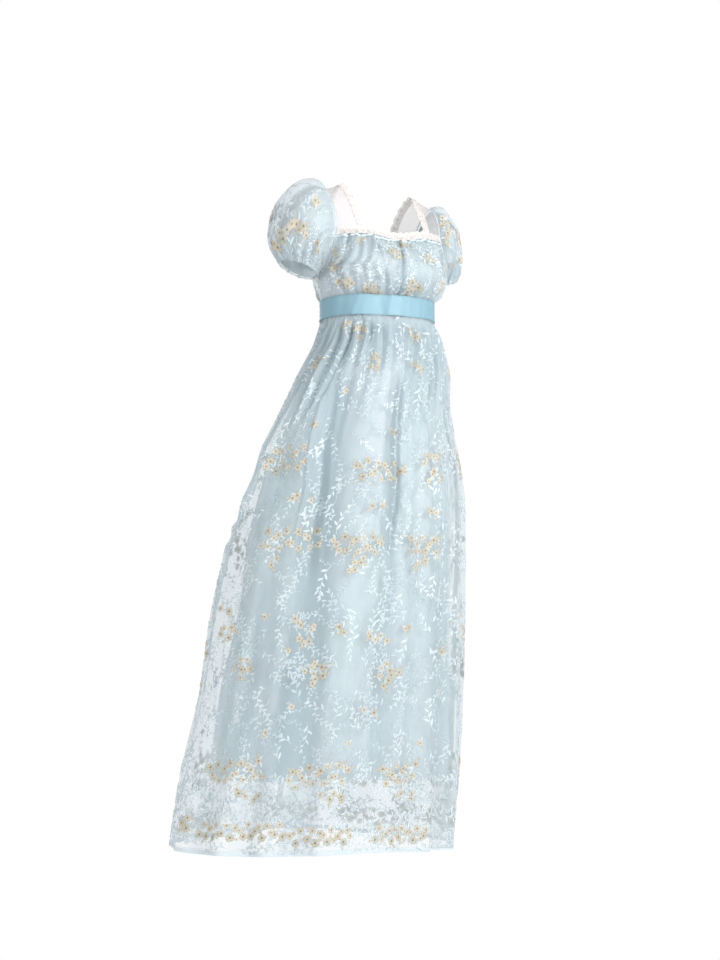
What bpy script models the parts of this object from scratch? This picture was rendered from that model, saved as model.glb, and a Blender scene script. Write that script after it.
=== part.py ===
"""An empire-line gown as it hangs when worn, empty: each piece of cloth is one thin closed wall.

Metres, +Z up. The origin is midway between the two shoulders, where the gown is held up. The front faces -Y
and the wearer's right is -X. Sizes below are millimetres, and a drop is a distance below the origin.
"""

import math

import bmesh
import bpy
import numpy as np

METRES = 0.001

# Cloth and seams
WALL = 1.0
SEAM_GAP = 0.3
LAYER_GAP = 0.6
ARMHOLE_GAP = 0.9

# Heights, as drops below the shoulders
NECK_FRONT = 86.0
NECK_BACK = 70.0
NECK_DIP = 11.0
ARMHOLE_BOTTOM = 160.0
WAIST = 236.0
RIBBON_WIDTH = 40.0
RIBBON_TOP = WAIST - RIBBON_WIDTH / 2
RIBBON_BOTTOM = WAIST + RIBBON_WIDTH / 2
LINING_HEM = 1165.0
HEM = 1297.0

# Square neckline and shoulders, as distances from the centre line
NECK_HALF_FRONT = 66.0
NECK_HALF_TOP = 77.0
NECK_HALF_BACK = 70.0
ARMHOLE_X = 112.0
SHOULDER_POINT_X = 117.0
SHOULDER_INNER_RISE = 12.0
SHOULDER_OUTER_DROP = 5.0

# The wearer's right shoulder is a little raised: height gained for each unit of x, gone by the neckline
SHOULDER_TILT = 0.085

# The skirt is drawn up a little where it is drawn out: height gained at the hem, from one x to another
HEM_LIFT = 15.0
HEM_LIFT_ENDS = (120.0, -120.0)

# How straight the shoulders slope: 1 is a quarter ellipse, more is flatter
SLOPE_NECK = 1.75
SLOPE_ARMHOLE = 1.15
SLOPE_BACK = 1.15

# Gathers and folds
SKIRT_GATHERS = 32
SKIRT_GATHER_DEPTH = 4.5
SKIRT_GATHER_LENGTH = 190.0
SKIRT_FOLDS = 15
SKIRT_FOLD_DEPTH = 7.0
LINING_FOLDS = 14
LINING_FOLD_DEPTH = 4.0
BODICE_GATHERS_FRONT = 16
BODICE_GATHERS_BACK = 6
BODICE_GATHER_DEPTH = 2.2
SLEEVE_GATHERS = 18
SLEEVE_GATHER_DEPTH = 2.4

# Lace
LACE_WIDTH = 17.0
LACE_ABOVE_EDGE = 5.0
SCALLOP_DEPTH = 3.0
NECK_SCALLOPS = 18
SHOULDER_SCALLOPS = 12
# Where the lace starts along an edge: the neck lace as a share at both ends, the shoulder lace at front and back
NECK_LACE_START = 0.012
SHOULDER_LACE_ENDS = (0.026, 0.970)
# How far the neck lace lies off the bodice's smooth form at its top and bottom edge, clear of the gathers
NECK_LACE_LIFT = {"front": (2.2, 2.8), "back": (1.0, 1.5)}

# Level sections of the cloth. Each row: drop, reach to the wearer's right, left, front and back, and the power of
# the oval, which is 2 for an ellipse and more for a squarer one.
SECTION_COLUMNS = ("drop", "right", "left", "front", "back", "power")
TORSO = (
    (62, 128, 128, 83, 96, 2.5),
    (86, 130, 130, 91, 99, 2.5),
    (108, 130, 132, 102, 103, 2.5),
    (132, 127, 132, 117, 105, 2.7),
    (154, 125, 132, 125, 104, 2.8),
    (178, 125, 131, 124, 101, 2.7),
    (194, 122, 129, 118, 97, 2.5),
    (206, 120, 124, 109, 93, 2.4),
    (214.8, 115, 115, 93, 88, 2.3),
    (236, 115, 115, 93, 88, 2.3),
)
TORSO_LINING = (
    (62, 125, 125, 80, 93, 2.5),
    (86, 127.4, 127.4, 88.4, 96.4, 2.5),
    (108, 125, 126, 97, 98, 2.5),
    (154, 119, 125, 117, 97, 2.6),
    (194, 114.5, 119, 104, 90, 2.4),
    (214.8, 112, 112, 90, 85, 2.3),
    (236, 112, 112, 90, 85, 2.3),
)
# The overskirt is drawn out to the wearer's right from the hip down, as a hand would hold it.
OVERSKIRT = (
    (236, 115, 115, 93, 88, 2.3),
    (257, 115, 115, 93, 88, 2.3),
    (300, 125, 132, 101, 96, 2.2),
    (360, 158, 148, 111, 108, 2.1),
    (440, 198, 153, 122, 122, 2.0),
    (520, 240, 170, 132, 134, 2.0),
    (600, 263, 182, 140, 143, 2.0),
    (680, 300, 183, 147, 150, 2.0),
    (820, 337, 180, 158, 162, 2.0),
    (1000, 363, 173, 170, 175, 2.0),
    (1160, 400, 162, 182, 186, 2.0),
    (1297, 421, 148, 192, 195, 2.0),
)
SKIRT_LINING = (
    (236, 112, 112, 90, 85, 2.3),
    (257, 112, 112, 90, 85, 2.3),
    (300, 116, 122, 93, 87, 2.2),
    (360, 146, 136, 101, 97, 2.1),
    (440, 184, 140, 110, 109, 2.0),
    (520, 222, 150, 118, 118, 2.0),
    (600, 246, 158, 125, 126, 2.0),
    (680, 268, 156, 131, 132, 2.0),
    (820, 284, 146, 141, 142, 2.0),
    (1000, 325, 146, 148, 150, 2.0),
    (1165, 348, 145, 154, 157, 2.0),
)
# Broad folds set by hand in the overskirt: place round the girth at the top and at the bottom (0 is the centre
# back, 0.25 the wearer's left), half-width as a share of the girth, depth inward, first and last drop
FOLD_COLUMNS = ("turn_top", "turn_hem", "width", "depth", "first", "last")
BROAD_FOLDS = (
    (0.600, 0.585, 0.020, 13, 330, 1297),
    (0.485, 0.470, 0.012, 7, 420, 1297),
    (0.655, 0.690, 0.016, 9, 560, 1297),
    (0.370, 0.360, 0.015, 6, 480, 1297),
    (0.130, 0.120, 0.020, 10, 380, 1297),
    (0.870, 0.880, 0.018, 10, 380, 1297),
)
# Taut ridges from the waist to where the skirt is drawn out
PULL_TURN = 0.755
PULL_DROP = 670.0
PULL_RIDGES = ((0.655, 5.0), (0.690, 6.0), (0.722, 5.0))
PULL_RIDGE_WIDTH = 0.011

# Puff sleeves. The hem ring: centre x, y and drop, half-sizes across and front to back, and its tilt in degrees.
# The puff: at the outer, front, inner and back sides, how far the cloth first lifts and spreads from the armhole,
# and how far it spreads and rises again above the hem.
HEM_RING = {
    "right": {"x": 170.5, "y": 0.0, "drop": 161.0, "across": 38.5, "deep": 44.0, "tilt": 23.0},
    "left": {"x": 160.0, "y": 26.0, "drop": 167.0, "across": 27.0, "deep": 43.0, "tilt": 20.0},
}
PUFF_COLUMNS = ("side", "lift", "out", "spread", "rise")
PUFFS = {
    "right": (
        ("outer", 58, 48, 71, 34),
        ("front", 26, 44, 34, 36),
        ("inner", 3, 6, 5, 6),
        ("back", 26, 44, 32, 36),
    ),
    "left": (
        ("outer", 45, 40, 30, 32),
        ("front", 20, 38, 26, 34),
        ("inner", 3, 6, 4, 6),
        ("back", 26, 44, 30, 36),
    ),
}
# The sleeve lining: its puff as a share of the sleeve's, and how far it lies within it at the armhole and the hem
SLEEVE_LINING_PUFF = 0.78
SLEEVE_LINING_INSET = {"right": 4.0, "left": 4.2}
# How far the ribbon lies off the waist seam
RIBBON_LIFT = 1.8

# How finely each piece is divided
SKIRT_ROWS = (0, 21, 34, 60, 110, 190, 300, 450, 640, 850, 1061)
LINING_ROWS = (0, 21, 64, 160, 330, 560, 929)
BODICE_ROWS = (0, 0.3, 0.58, 0.82, 0.93, 1.0)
SLEEVE_ROWS = (0.0, 0.08, 0.25, 0.45, 0.65, 0.86, 1.0)
SLEEVE_LINING_ROWS = (0.0, 0.2, 0.5, 0.8, 1.0)
YOKE_ROWS = 13
YOKE_COLUMNS = 5
SKIRT_COLUMNS_PER_FOLD = 4
BODICE_COLUMNS_PER_GATHER = 3
BODICE_LINING_COLUMNS_PER_GATHER = 1.25
SLEEVE_COLUMNS_PER_GATHER = 3
SLEEVE_LINING_COLUMNS = 26
RIBBON_COLUMNS = 64
COLUMNS_PER_SCALLOP = 3
LEVELS_OF_A_SLANTED_BAND = 60
FINE_STEPS = 361
BODICE_GIRTH = 600.0

# Colour, roughness and metallic value of each cloth
CLOTHS = {
    "tulle": ((0.72, 0.83, 0.87, 1.0), 0.75, 0.0),
    "satin": ((0.60, 0.76, 0.83, 1.0), 0.45, 0.0),
    "ribbon": ((0.37, 0.62, 0.75, 1.0), 0.35, 0.0),
    "net": ((0.90, 0.88, 0.88, 1.0), 0.80, 0.0),
    "lace": ((0.93, 0.91, 0.90, 1.0), 0.80, 0.0),
}


def clear_scene():
    for thing in list(bpy.data.objects):
        bpy.data.objects.remove(thing, do_unlink=True)


def cloth_material(name):
    """The cloth's Principled material, made once."""
    found = bpy.data.materials.get(name)
    if found:
        return found
    colour, roughness, metallic = CLOTHS[name]
    material = bpy.data.materials.new(name)
    material.use_nodes = True
    shader = material.node_tree.nodes["Principled BSDF"]
    shader.inputs["Base Color"].default_value = colour
    shader.inputs["Roughness"].default_value = roughness
    shader.inputs["Metallic"].default_value = metallic
    return material


def ease(value, low, high):
    """0 below low, 1 above high, and a smooth rise between."""
    share = np.clip((value - low) / (high - low), 0.0, 1.0)
    return share * share * (3 - 2 * share)


def section(table, drop):
    """The sizes of a level section at each drop, as a dict of columns, on a smooth curve through the rows."""
    rows = np.array(table, float)
    place = rows[:, 0]
    drop = np.clip(drop, place[0], place[-1])
    index = np.clip(np.searchsorted(place, drop) - 1, 0, len(place) - 2)
    step = place[index + 1] - place[index]
    share = (drop - place[index]) / step
    sizes = {}
    for column, name in enumerate(SECTION_COLUMNS[1:], 1):
        slope = np.gradient(rows[:, column], place)
        before, after = rows[index, column], rows[index + 1, column]
        sizes[name] = (
            before * (2 * share**3 - 3 * share**2 + 1)
            + slope[index] * step * (share**3 - 2 * share**2 + share)
            + after * (3 * share**2 - 2 * share**3)
            + slope[index + 1] * step * (share**3 - share**2)
        )
    return sizes


def oval(sizes, angle):
    """x and y on a level oval. Angle 0 is the wearer's left, a quarter turn the front, a half the right."""
    half = (sizes["left"] + sizes["right"]) / 2
    middle = (sizes["left"] - sizes["right"]) / 2
    along, forward = np.cos(angle), np.sin(angle)
    reach = np.where(forward > 0, sizes["front"], sizes["back"])
    power = 2 / sizes["power"]
    x = middle + half * np.sign(along) * np.abs(along) ** power
    y = -reach * np.sign(forward) * np.abs(forward) ** power
    return x, y


def cloth_band(table, drops, start, end, across):
    """Points on rows at the given drops, from the start to the end angle of each row, even along its girth.

    start and end hold an angle for each row, and across the shares of the way along a row.
    """
    share = np.linspace(0, 1, FINE_STEPS)[None, :]
    sizes = {name: value[:, None] for name, value in section(table, drops).items()}
    angle = start[:, None] + (end - start)[:, None] * share
    x, y = oval(sizes, angle)
    length = np.zeros_like(x)
    length[:, 1:] = np.cumsum(np.hypot(np.diff(x), np.diff(y)), axis=1)
    points = np.empty((len(drops), len(across), 3))
    for row, whole in enumerate(length[:, -1]):
        points[row, :, 0] = np.interp(across * whole, length[row], x[row])
        points[row, :, 1] = np.interp(across * whole, length[row], y[row])
        points[row, :, 2] = -drops[row]
    return points


def band_at(table, wanted, start_of, end_of, across):
    """A band whose rows need not be level: wanted holds the drop of each row and column."""
    drops = np.linspace(wanted.min(), wanted.max(), LEVELS_OF_A_SLANTED_BAND)
    level = cloth_band(table, drops, start_of(drops), end_of(drops), across)
    points = np.empty((*wanted.shape, 3))
    for column in range(wanted.shape[1]):
        for axis in range(2):
            points[:, column, axis] = np.interp(wanted[:, column], drops, level[:, column, axis])
    points[:, :, 2] = -wanted
    return points


def armhole_depth(drop, neck, reach):
    """How far the armhole's edge lies from the side, at a drop below the neckline: a quarter ellipse."""
    share = np.clip((drop - neck) / (ARMHOLE_BOTTOM - neck), 0.0, 1.0)
    return reach * np.sqrt(1 - share**2)


def reach_at(drop, x, side):
    """How far the bodice reaches forward or back at one drop, at each distance x from the centre line."""
    sizes = {name: value[0] for name, value in section(TORSO, np.array([drop])).items()}
    half = (sizes["left"] + sizes["right"]) / 2
    return sizes[side] * (1 - np.abs(x / half) ** sizes["power"]) ** (1 / sizes["power"])


ARMHOLE_FRONT = reach_at(NECK_FRONT, ARMHOLE_X, "front")
ARMHOLE_BACK = reach_at(NECK_BACK, ARMHOLE_X, "back")


def armhole_angle(table, drop, side):
    """The angle from the side of the body to the armhole's edge on a section."""
    sizes = section(table, drop)
    if side == "front":
        depth = armhole_depth(drop, NECK_FRONT, ARMHOLE_FRONT)
    else:
        depth = armhole_depth(drop, NECK_BACK, ARMHOLE_BACK)
    return np.arcsin(np.clip(depth / sizes[side], 0, 1) ** (sizes["power"] / 2))


def outward(points, closed=False):
    """Unit normals of a grid whose rows go down and whose columns go round from the left to the front."""
    if closed:
        around = np.roll(points, -1, axis=1) - np.roll(points, 1, axis=1)
    else:
        around = np.gradient(points, axis=1)
    down = np.gradient(points, axis=0)
    normal = np.cross(around, down)
    return normal / np.linalg.norm(normal, axis=2, keepdims=True)


def folded(base, depth, closed=False):
    """The base moved out by a depth at each point, and the inside of the wall one thickness within it."""
    smooth = outward(base, closed)
    outer = base + smooth * depth[:, :, None]
    normal = outward(outer, closed)
    if not closed:
        normal[:, 0] = smooth[:, 0]
        normal[:, -1] = smooth[:, -1]
    return outer, outer - normal * WALL


def posed(points):
    """Raises the wearer's right shoulder and lowers the left, less and less down to the neckline, and draws the
    hem up on the wearer's right."""
    moved = points.copy()
    x, z = points[:, 0], points[:, 2]
    moved[:, 2] -= SHOULDER_TILT * x * ease(z, -NECK_FRONT - 14, -10.0)
    moved[:, 2] += HEM_LIFT * ease(-z, PULL_DROP, HEM) * ease(-x, -HEM_LIFT_ENDS[0], -HEM_LIFT_ENDS[1])
    return moved


def make_wall(name, cloth, outer, inner, closed=False):
    """A closed wall between two grids of points. Both sides split their squares along the same diagonal."""
    rows, columns = outer.shape[:2]
    points = posed(np.concatenate([outer.reshape(-1, 3), inner.reshape(-1, 3)]))
    back = rows * columns
    faces = []
    spans = columns if closed else columns - 1

    def corner(row, column):
        return row * columns + column % columns

    for row in range(rows - 1):
        for column in range(spans):
            a, b = corner(row, column), corner(row, column + 1)
            c, d = corner(row + 1, column + 1), corner(row + 1, column)
            faces += [(a, b, c), (a, c, d), (back + a, back + c, back + b), (back + a, back + d, back + c)]
    for row in (0, rows - 1):
        for column in range(spans):
            a, b = corner(row, column), corner(row, column + 1)
            faces += [(a, back + a, b), (b, back + a, back + b)]
    if not closed:
        for column in (0, columns - 1):
            for row in range(rows - 1):
                a, b = corner(row, column), corner(row + 1, column)
                faces += [(a, b, back + a), (b, back + b, back + a)]
    mesh = bpy.data.meshes.new(name)
    mesh.from_pydata((points * METRES).tolist(), [], faces)
    shape = bmesh.new()
    shape.from_mesh(mesh)
    bmesh.ops.recalc_face_normals(shape, faces=shape.faces)
    shape.to_mesh(mesh)
    shape.free()
    mesh.shade_smooth()
    mesh.set_sharp_from_angle(angle=math.radians(50))
    mesh.materials.append(cloth_material(cloth))
    thing = bpy.data.objects.new(name, mesh)
    bpy.context.scene.collection.objects.link(thing)
    return thing


def trimmed(count, length):
    """Even shares from side to side, less half a seam's gap at each end."""
    edge = SEAM_GAP / 2 / length
    return np.linspace(edge, 1 - edge, count)


# The three panels of a tube of cloth: name, start and end angle, place round the girth at the start and the end
CENTRE_BACK = 1.5 * math.pi
PANELS = (
    ("front", 0.0, math.pi, 0.25, 0.75),
    ("back_right", math.pi, CENTRE_BACK, 0.75, 1.0),
    ("back_left", CENTRE_BACK, 2 * math.pi, 0.0, 0.25),
)


def make_tube(name, cloth, table, drops, columns, fold):
    """A tube of cloth in three panels: it is folded whole, then cut at its seams, and each edge is drawn back by
    half a gap."""
    full = np.ones_like(drops)
    bands, turns, cuts = [], [], [0]
    for _, start, end, first, last in PANELS:
        count = round(columns * (last - first))
        across = np.arange(count) / count
        bands.append(cloth_band(table, drops, start * full, end * full, across))
        turns.append(first + (last - first) * across)
        cuts.append(cuts[-1] + count)
    base = np.concatenate(bands, axis=1)
    turn = np.concatenate(turns)
    outer, inner = folded(base, fold(turn[None, :], drops[:, None]), closed=True)
    for (side, *_), first, last in zip(PANELS, cuts[:-1], cuts[1:]):
        columns_here = np.arange(first, last + 1) % cuts[-1]
        sides = [grid[:, columns_here].copy() for grid in (outer, inner)]
        for grid in sides:
            for edge, inward in ((0, 1), (-1, -2)):
                along = base[:, columns_here[inward]] - base[:, columns_here[edge]]
                along /= np.linalg.norm(along, axis=1, keepdims=True)
                grid[:, edge] += along * SEAM_GAP / 2
        make_wall(name + side, cloth, *sides)


def overskirt_fold(turn, drop):
    """How far the overskirt stands out from its section, at a place round the girth and a drop."""
    below = drop - RIBBON_BOTTOM
    uneven = turn + 0.0022 * np.sin(2 * math.pi * 5 * turn + 0.6)
    length = SKIRT_GATHER_LENGTH * (1 + 0.35 * np.sin(2 * math.pi * 7 * turn + 1.1))
    swell = 0.2 + 0.8 * ease(below, 0, 35)
    gather = SKIRT_GATHER_DEPTH * swell * (1 - ease(below, 40, length + 60))
    depth = gather * np.cos(2 * math.pi * SKIRT_GATHERS * uneven)
    strength = SKIRT_FOLD_DEPTH * (1 + 0.45 * np.sin(2 * math.pi * 3 * turn + 2.0))
    strength = strength * ease(below, 40, 420) * (0.6 + 0.4 * ease(below, 420, 1040))
    drift = 0.5 * np.sin(below / 310 + 4 * math.pi * turn)
    depth = depth + strength * np.cos(2 * math.pi * SKIRT_FOLDS * turn + drift)
    for row in BROAD_FOLDS:
        fold = dict(zip(FOLD_COLUMNS, row))
        share = np.clip((drop - fold["first"]) / (fold["last"] - fold["first"]), 0, 1)
        place = fold["turn_top"] + (fold["turn_hem"] - fold["turn_top"]) * share
        depth -= fold["depth"] * ease(share, 0, 0.25) * np.exp(-(((turn - place) / fold["width"]) ** 2))
    for start, height in PULL_RIDGES:
        share = np.clip(below / (PULL_DROP - RIBBON_BOTTOM), 0, 1)
        place = start + (PULL_TURN - start) * share
        fade = ease(share, 0.03, 0.25) * (1 - ease(drop, PULL_DROP - 60, PULL_DROP + 10))
        depth += height * fade * np.exp(-(((turn - place) / PULL_RIDGE_WIDTH) ** 2))
    return depth


def lining_fold(turn, drop):
    """How far the skirt lining stands out from its section."""
    below = drop - RIBBON_BOTTOM
    strength = LINING_FOLD_DEPTH * (1 + 0.3 * np.sin(2 * math.pi * 2 * turn + 0.5)) * ease(below, 30, 500)
    return strength * np.cos(2 * math.pi * LINING_FOLDS * turn + 0.4 * np.sin(below / 280))


def stretched(rows, first, last):
    """Drops from the first to the last, spaced as the rows are."""
    rows = np.array(rows, float)
    return first + (last - first) * rows / rows[-1]


def make_skirts():
    top = WAIST + SEAM_GAP / 2
    columns = SKIRT_GATHERS * SKIRT_COLUMNS_PER_FOLD
    make_tube("skirt_", "tulle", OVERSKIRT, stretched(SKIRT_ROWS, top, HEM), columns, overskirt_fold)
    columns = LINING_FOLDS * SKIRT_COLUMNS_PER_FOLD
    drops = stretched(LINING_ROWS, top, LINING_HEM)
    make_tube("skirt_lining_", "satin", SKIRT_LINING, drops, columns, lining_fold)


def bodice_edges(table, start, end):
    """Two functions of the drop: the angles where a panel of the bodice starts and ends. It is cut back at an
    armhole and not at the centre back."""
    side = "front" if end == math.pi else "back"

    def first(drop):
        return start + (start != CENTRE_BACK) * armhole_angle(table, drop, side)

    def last(drop):
        return end - (end != CENTRE_BACK) * armhole_angle(table, drop, side)

    return first, last


def neck_drop(side, across):
    """The drop of the bodice's top edge. The front dips a little at its middle."""
    if side != "front":
        return np.full_like(across, NECK_BACK)
    middle = np.clip(np.abs(across - 0.5) / 0.27, 0, 1)
    return NECK_FRONT + NECK_DIP * np.cos(middle * math.pi / 2) ** 2


def bodice_fold(across, share, gathers):
    """Gathers of the bodice: caught at the neckline and at the waist, and soft between them."""
    depth = BODICE_GATHER_DEPTH * (0.3 + 0.5 * ease(share, 0, 0.15) + 0.7 * ease(share, 0.5, 0.85))
    depth = depth * (1 - 0.85 * ease(share, 0.93, 1.0))
    edge = ease(np.minimum(across, 1 - across), 0.0, 0.1)
    return depth * edge * np.cos(2 * math.pi * gathers * across)


def make_bodice(name, cloth, table, columns_per_gather, fold_size):
    """The front and the two backs of one layer of the bodice."""
    for side, start, end, first, last in PANELS:
        gathers = BODICE_GATHERS_FRONT if side == "front" else BODICE_GATHERS_BACK
        across = trimmed(round(gathers * columns_per_gather) + 1, BODICE_GIRTH * (last - first))
        share = np.array(BODICE_ROWS)[:, None]
        top = neck_drop(side, across)[None, :] + SEAM_GAP / 2
        wanted = top + (RIBBON_TOP - 1 - top) * share
        wanted = np.concatenate([wanted, np.full((1, len(across)), WAIST - SEAM_GAP / 2)])
        share = np.concatenate([share, share[-1:]])
        base = band_at(table, wanted, *bodice_edges(table, start, end), across)
        depth = fold_size * bodice_fold(across[None, :], share, gathers)
        outer, inner = folded(base, depth)
        make_wall(name + side, cloth, outer, inner)


def yoke_point(around, across):
    """The shoulder net on the wearer's left: around runs 0 to 1 from front to back over the shoulder, and across
    runs 0 to 1 from the neckline to the armhole. Each line is two quarter ellipses that meet at the top."""
    angle = math.pi * around
    front = around < 0.5
    slope = np.where(front, SLOPE_NECK + (SLOPE_ARMHOLE - SLOPE_NECK) * across, SLOPE_BACK)
    up = np.sin(angle) ** slope
    back = -np.sign(np.cos(angle)) * np.abs(np.cos(angle)) ** slope
    low_inner = np.where(front, NECK_HALF_FRONT, NECK_HALF_BACK)
    low_x = low_inner + (ARMHOLE_X - low_inner) * across
    top_x = NECK_HALF_TOP + (SHOULDER_POINT_X - NECK_HALF_TOP) * across
    low_drop = np.where(front, NECK_FRONT, NECK_BACK)
    top = SHOULDER_INNER_RISE - (SHOULDER_INNER_RISE + SHOULDER_OUTER_DROP) * across
    reach = np.where(front, reach_at(NECK_FRONT, low_x, "front"), reach_at(NECK_BACK, low_x, "back"))
    x = low_x + (top_x - low_x) * up
    y = reach * back
    z = -low_drop + (top + low_drop) * up
    return np.stack(np.broadcast_arrays(x, y, z), axis=-1)


def mirrored(points, hand):
    """The wearer's left side as it is, or turned over for the right."""
    if hand == "left":
        return points
    return points * np.array([-1.0, 1.0, 1.0])


def make_yokes():
    around = np.linspace(0.004, 0.996, YOKE_ROWS)[:, None]
    across = np.linspace(0, 1, YOKE_COLUMNS)[None, :]
    outer = yoke_point(around, across)
    inner = outer - outward(outer) * WALL
    for hand in ("left", "right"):
        make_wall("shoulder_net_" + hand, "net", mirrored(outer, hand), mirrored(inner, hand))


def make_shoulder_lace():
    """Lace on the inner edge of each shoulder net. Its free edge is scalloped and stands past the net."""
    around = np.linspace(*SHOULDER_LACE_ENDS, SHOULDER_SCALLOPS * COLUMNS_PER_SCALLOP + 1)[:, None]
    width = LACE_WIDTH / (ARMHOLE_X - NECK_HALF_FRONT)
    past = LACE_ABOVE_EDGE / (ARMHOLE_X - NECK_HALF_FRONT)
    depth = SCALLOP_DEPTH / (ARMHOLE_X - NECK_HALF_FRONT)
    share = (around - around[0]) / np.ptp(around)
    free = depth * (1 - np.abs(np.sin(math.pi * SHOULDER_SCALLOPS * share))) - past
    across = free + (width - past - free) * np.array([[0.0, 1.0]])
    base = yoke_point(around, across)
    normal = outward(base)
    inner = base + normal * LAYER_GAP
    outer = inner + normal * WALL
    for hand in ("left", "right"):
        make_wall("lace_shoulder_" + hand, "lace", mirrored(outer, hand), mirrored(inner, hand))


def make_neck_lace():
    """Lace along the top edges of the bodice, front and back, standing a little above them."""
    share = np.linspace(0, 1, NECK_SCALLOPS * COLUMNS_PER_SCALLOP + 1)
    across = NECK_LACE_START + (1 - 2 * NECK_LACE_START) * share
    wave = SCALLOP_DEPTH * (1 - np.abs(np.sin(math.pi * NECK_SCALLOPS * share)))
    for side, start, end in (("front", 0.0, math.pi), ("back", math.pi, 2 * math.pi)):
        top = neck_drop(side, across) - LACE_ABOVE_EDGE
        wanted = np.stack([top + wave, top + LACE_WIDTH])
        base = band_at(TORSO, wanted, *bodice_edges(TORSO, start, end), across)
        normal = outward(base)
        inner = base + normal * np.array(NECK_LACE_LIFT[side])[:, None, None]
        make_wall("lace_neck_" + side, "lace", inner + normal * WALL, inner)


def armhole_ring(turn, shrink):
    """The armhole on the wearer's left: turn 0 is the top, a quarter the front, a half the bottom. It is made of
    four quarter ellipses, which follow the net's outer edge above and the bodice below."""
    angle = 2 * math.pi * turn
    forward, up = np.sin(angle), np.cos(angle)
    front = forward >= 0
    slope = np.where(up > 0, np.where(front, SLOPE_ARMHOLE, SLOPE_BACK), 1.0)
    forward = np.sign(forward) * np.abs(forward) ** slope
    up = np.sign(up) * np.abs(up) ** slope
    reach = np.where(front, ARMHOLE_FRONT, ARMHOLE_BACK)
    neck = np.where(front, NECK_FRONT, NECK_BACK)
    high = neck - SHOULDER_OUTER_DROP
    low = ARMHOLE_BOTTOM - neck
    drop = neck - np.where(up > 0, (high - shrink) * up, (low - shrink) * up)
    y = -(reach - shrink) * forward
    sizes = section(TORSO, drop)
    half = (sizes["left"] + sizes["right"]) / 2
    middle = (sizes["left"] - sizes["right"]) / 2
    depth = np.where(front, sizes["front"], sizes["back"])
    body_x = middle + half * (1 - np.abs(y / depth) ** sizes["power"]) ** (1 / sizes["power"])
    net_x = ARMHOLE_X + (SHOULDER_POINT_X - ARMHOLE_X) * up
    return np.stack([np.where(up > 0, net_x, body_x), y, -drop], axis=-1)


def puff_size(hand, column, turn):
    """One size of the puff, eased between its outer, front, inner and back values."""
    rows = [dict(zip(PUFF_COLUMNS, row))[column] for row in PUFFS[hand]]
    place = (turn * 4) % 4
    index = np.floor(place).astype(int)
    share = np.sin((place - index) * math.pi / 2) ** 2
    values = np.array(rows, float)
    return values[index % 4] * (1 - share) + values[(index + 1) % 4] * share


def sleeve_points(hand, turn, share, shrink, puff):
    """A puff sleeve on the wearer's left: cubic curves from the armhole ring to the hem ring. Their first handle
    lifts the cloth off the armhole and their second brings it back in, above the hem."""
    ring = HEM_RING[hand]
    tilt = math.radians(ring["tilt"])
    start = armhole_ring(turn, shrink)
    start[:, 0] += ARMHOLE_GAP + shrink / 2
    angle = 2 * math.pi * turn
    across = (ring["across"] - shrink) * np.cos(angle)
    end = np.stack(
        [
            ring["x"] + across * math.cos(tilt),
            ring["y"] - (ring["deep"] - shrink) * np.sin(angle),
            -ring["drop"] + across * math.sin(tilt),
        ],
        axis=-1,
    )
    lift, out, spread, rise = (puff * puff_size(hand, name, turn)[:, None] for name in PUFF_COLUMNS[1:])
    radial = np.stack([np.zeros_like(turn), -np.sin(angle), np.cos(angle)], axis=-1)
    flat = np.stack([np.cos(angle) * math.cos(tilt), -np.sin(angle), np.cos(angle) * math.sin(tilt)], axis=-1)
    first = start + lift * radial + out * np.array([1.0, 0.0, 0.0])
    second = end + spread * flat + rise * np.array([0.0, 0.0, 1.0])
    t = share[:, None, None]
    return (
        (1 - t) ** 3 * start[None]
        + 3 * t * (1 - t) ** 2 * first[None]
        + 3 * t**2 * (1 - t) * second[None]
        + t**3 * end[None]
    )


def sleeve_fold(turn, share):
    """Gathers at the head and at the hem, almost gone over the fullest part."""
    depth = SLEEVE_GATHER_DEPTH * (0.25 + 0.75 * np.cos(math.pi * share) ** 2)
    depth = depth * ease(share, -0.12, 0.15) * ease(1 - share, -0.12, 0.15)
    quiet = 1 - 0.85 * np.exp(-(((turn - 0.5) / 0.16) ** 2))
    return depth * quiet * np.cos(2 * math.pi * SLEEVE_GATHERS * turn)


def make_sleeves():
    for hand in ("left", "right"):
        columns = SLEEVE_GATHERS * SLEEVE_COLUMNS_PER_GATHER
        turn = np.arange(columns) / columns
        share = np.array(SLEEVE_ROWS)
        base = sleeve_points(hand, turn, share, 0.0, 1.0)
        outer, inner = folded(base, sleeve_fold(turn[None, :], share[:, None]), closed=True)
        make_wall("sleeve_" + hand, "tulle", mirrored(outer, hand), mirrored(inner, hand), closed=True)
        turn = np.arange(SLEEVE_LINING_COLUMNS) / SLEEVE_LINING_COLUMNS
        share = np.array(SLEEVE_LINING_ROWS)
        base = sleeve_points(hand, turn, share, SLEEVE_LINING_INSET[hand], SLEEVE_LINING_PUFF)
        outer, inner = folded(base, np.zeros(base.shape[:2]), closed=True)
        make_wall("sleeve_lining_" + hand, "satin", mirrored(outer, hand), mirrored(inner, hand), closed=True)


def make_ribbon():
    """The belt: a closed ring of satin ribbon round the waist seam."""
    drops = np.array([RIBBON_TOP, RIBBON_BOTTOM])
    across = np.arange(RIBBON_COLUMNS) / RIBBON_COLUMNS
    full = np.ones_like(drops)
    waist = tuple((drop, *TORSO[-1][1:]) for drop in (RIBBON_TOP - 1, RIBBON_BOTTOM + 1))
    base = cloth_band(waist, drops, 0 * full, 2 * math.pi * full, across)
    normal = outward(base, closed=True)
    inner = base + normal * RIBBON_LIFT
    make_wall("waist_ribbon", "ribbon", inner + normal * WALL, inner, closed=True)


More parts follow.
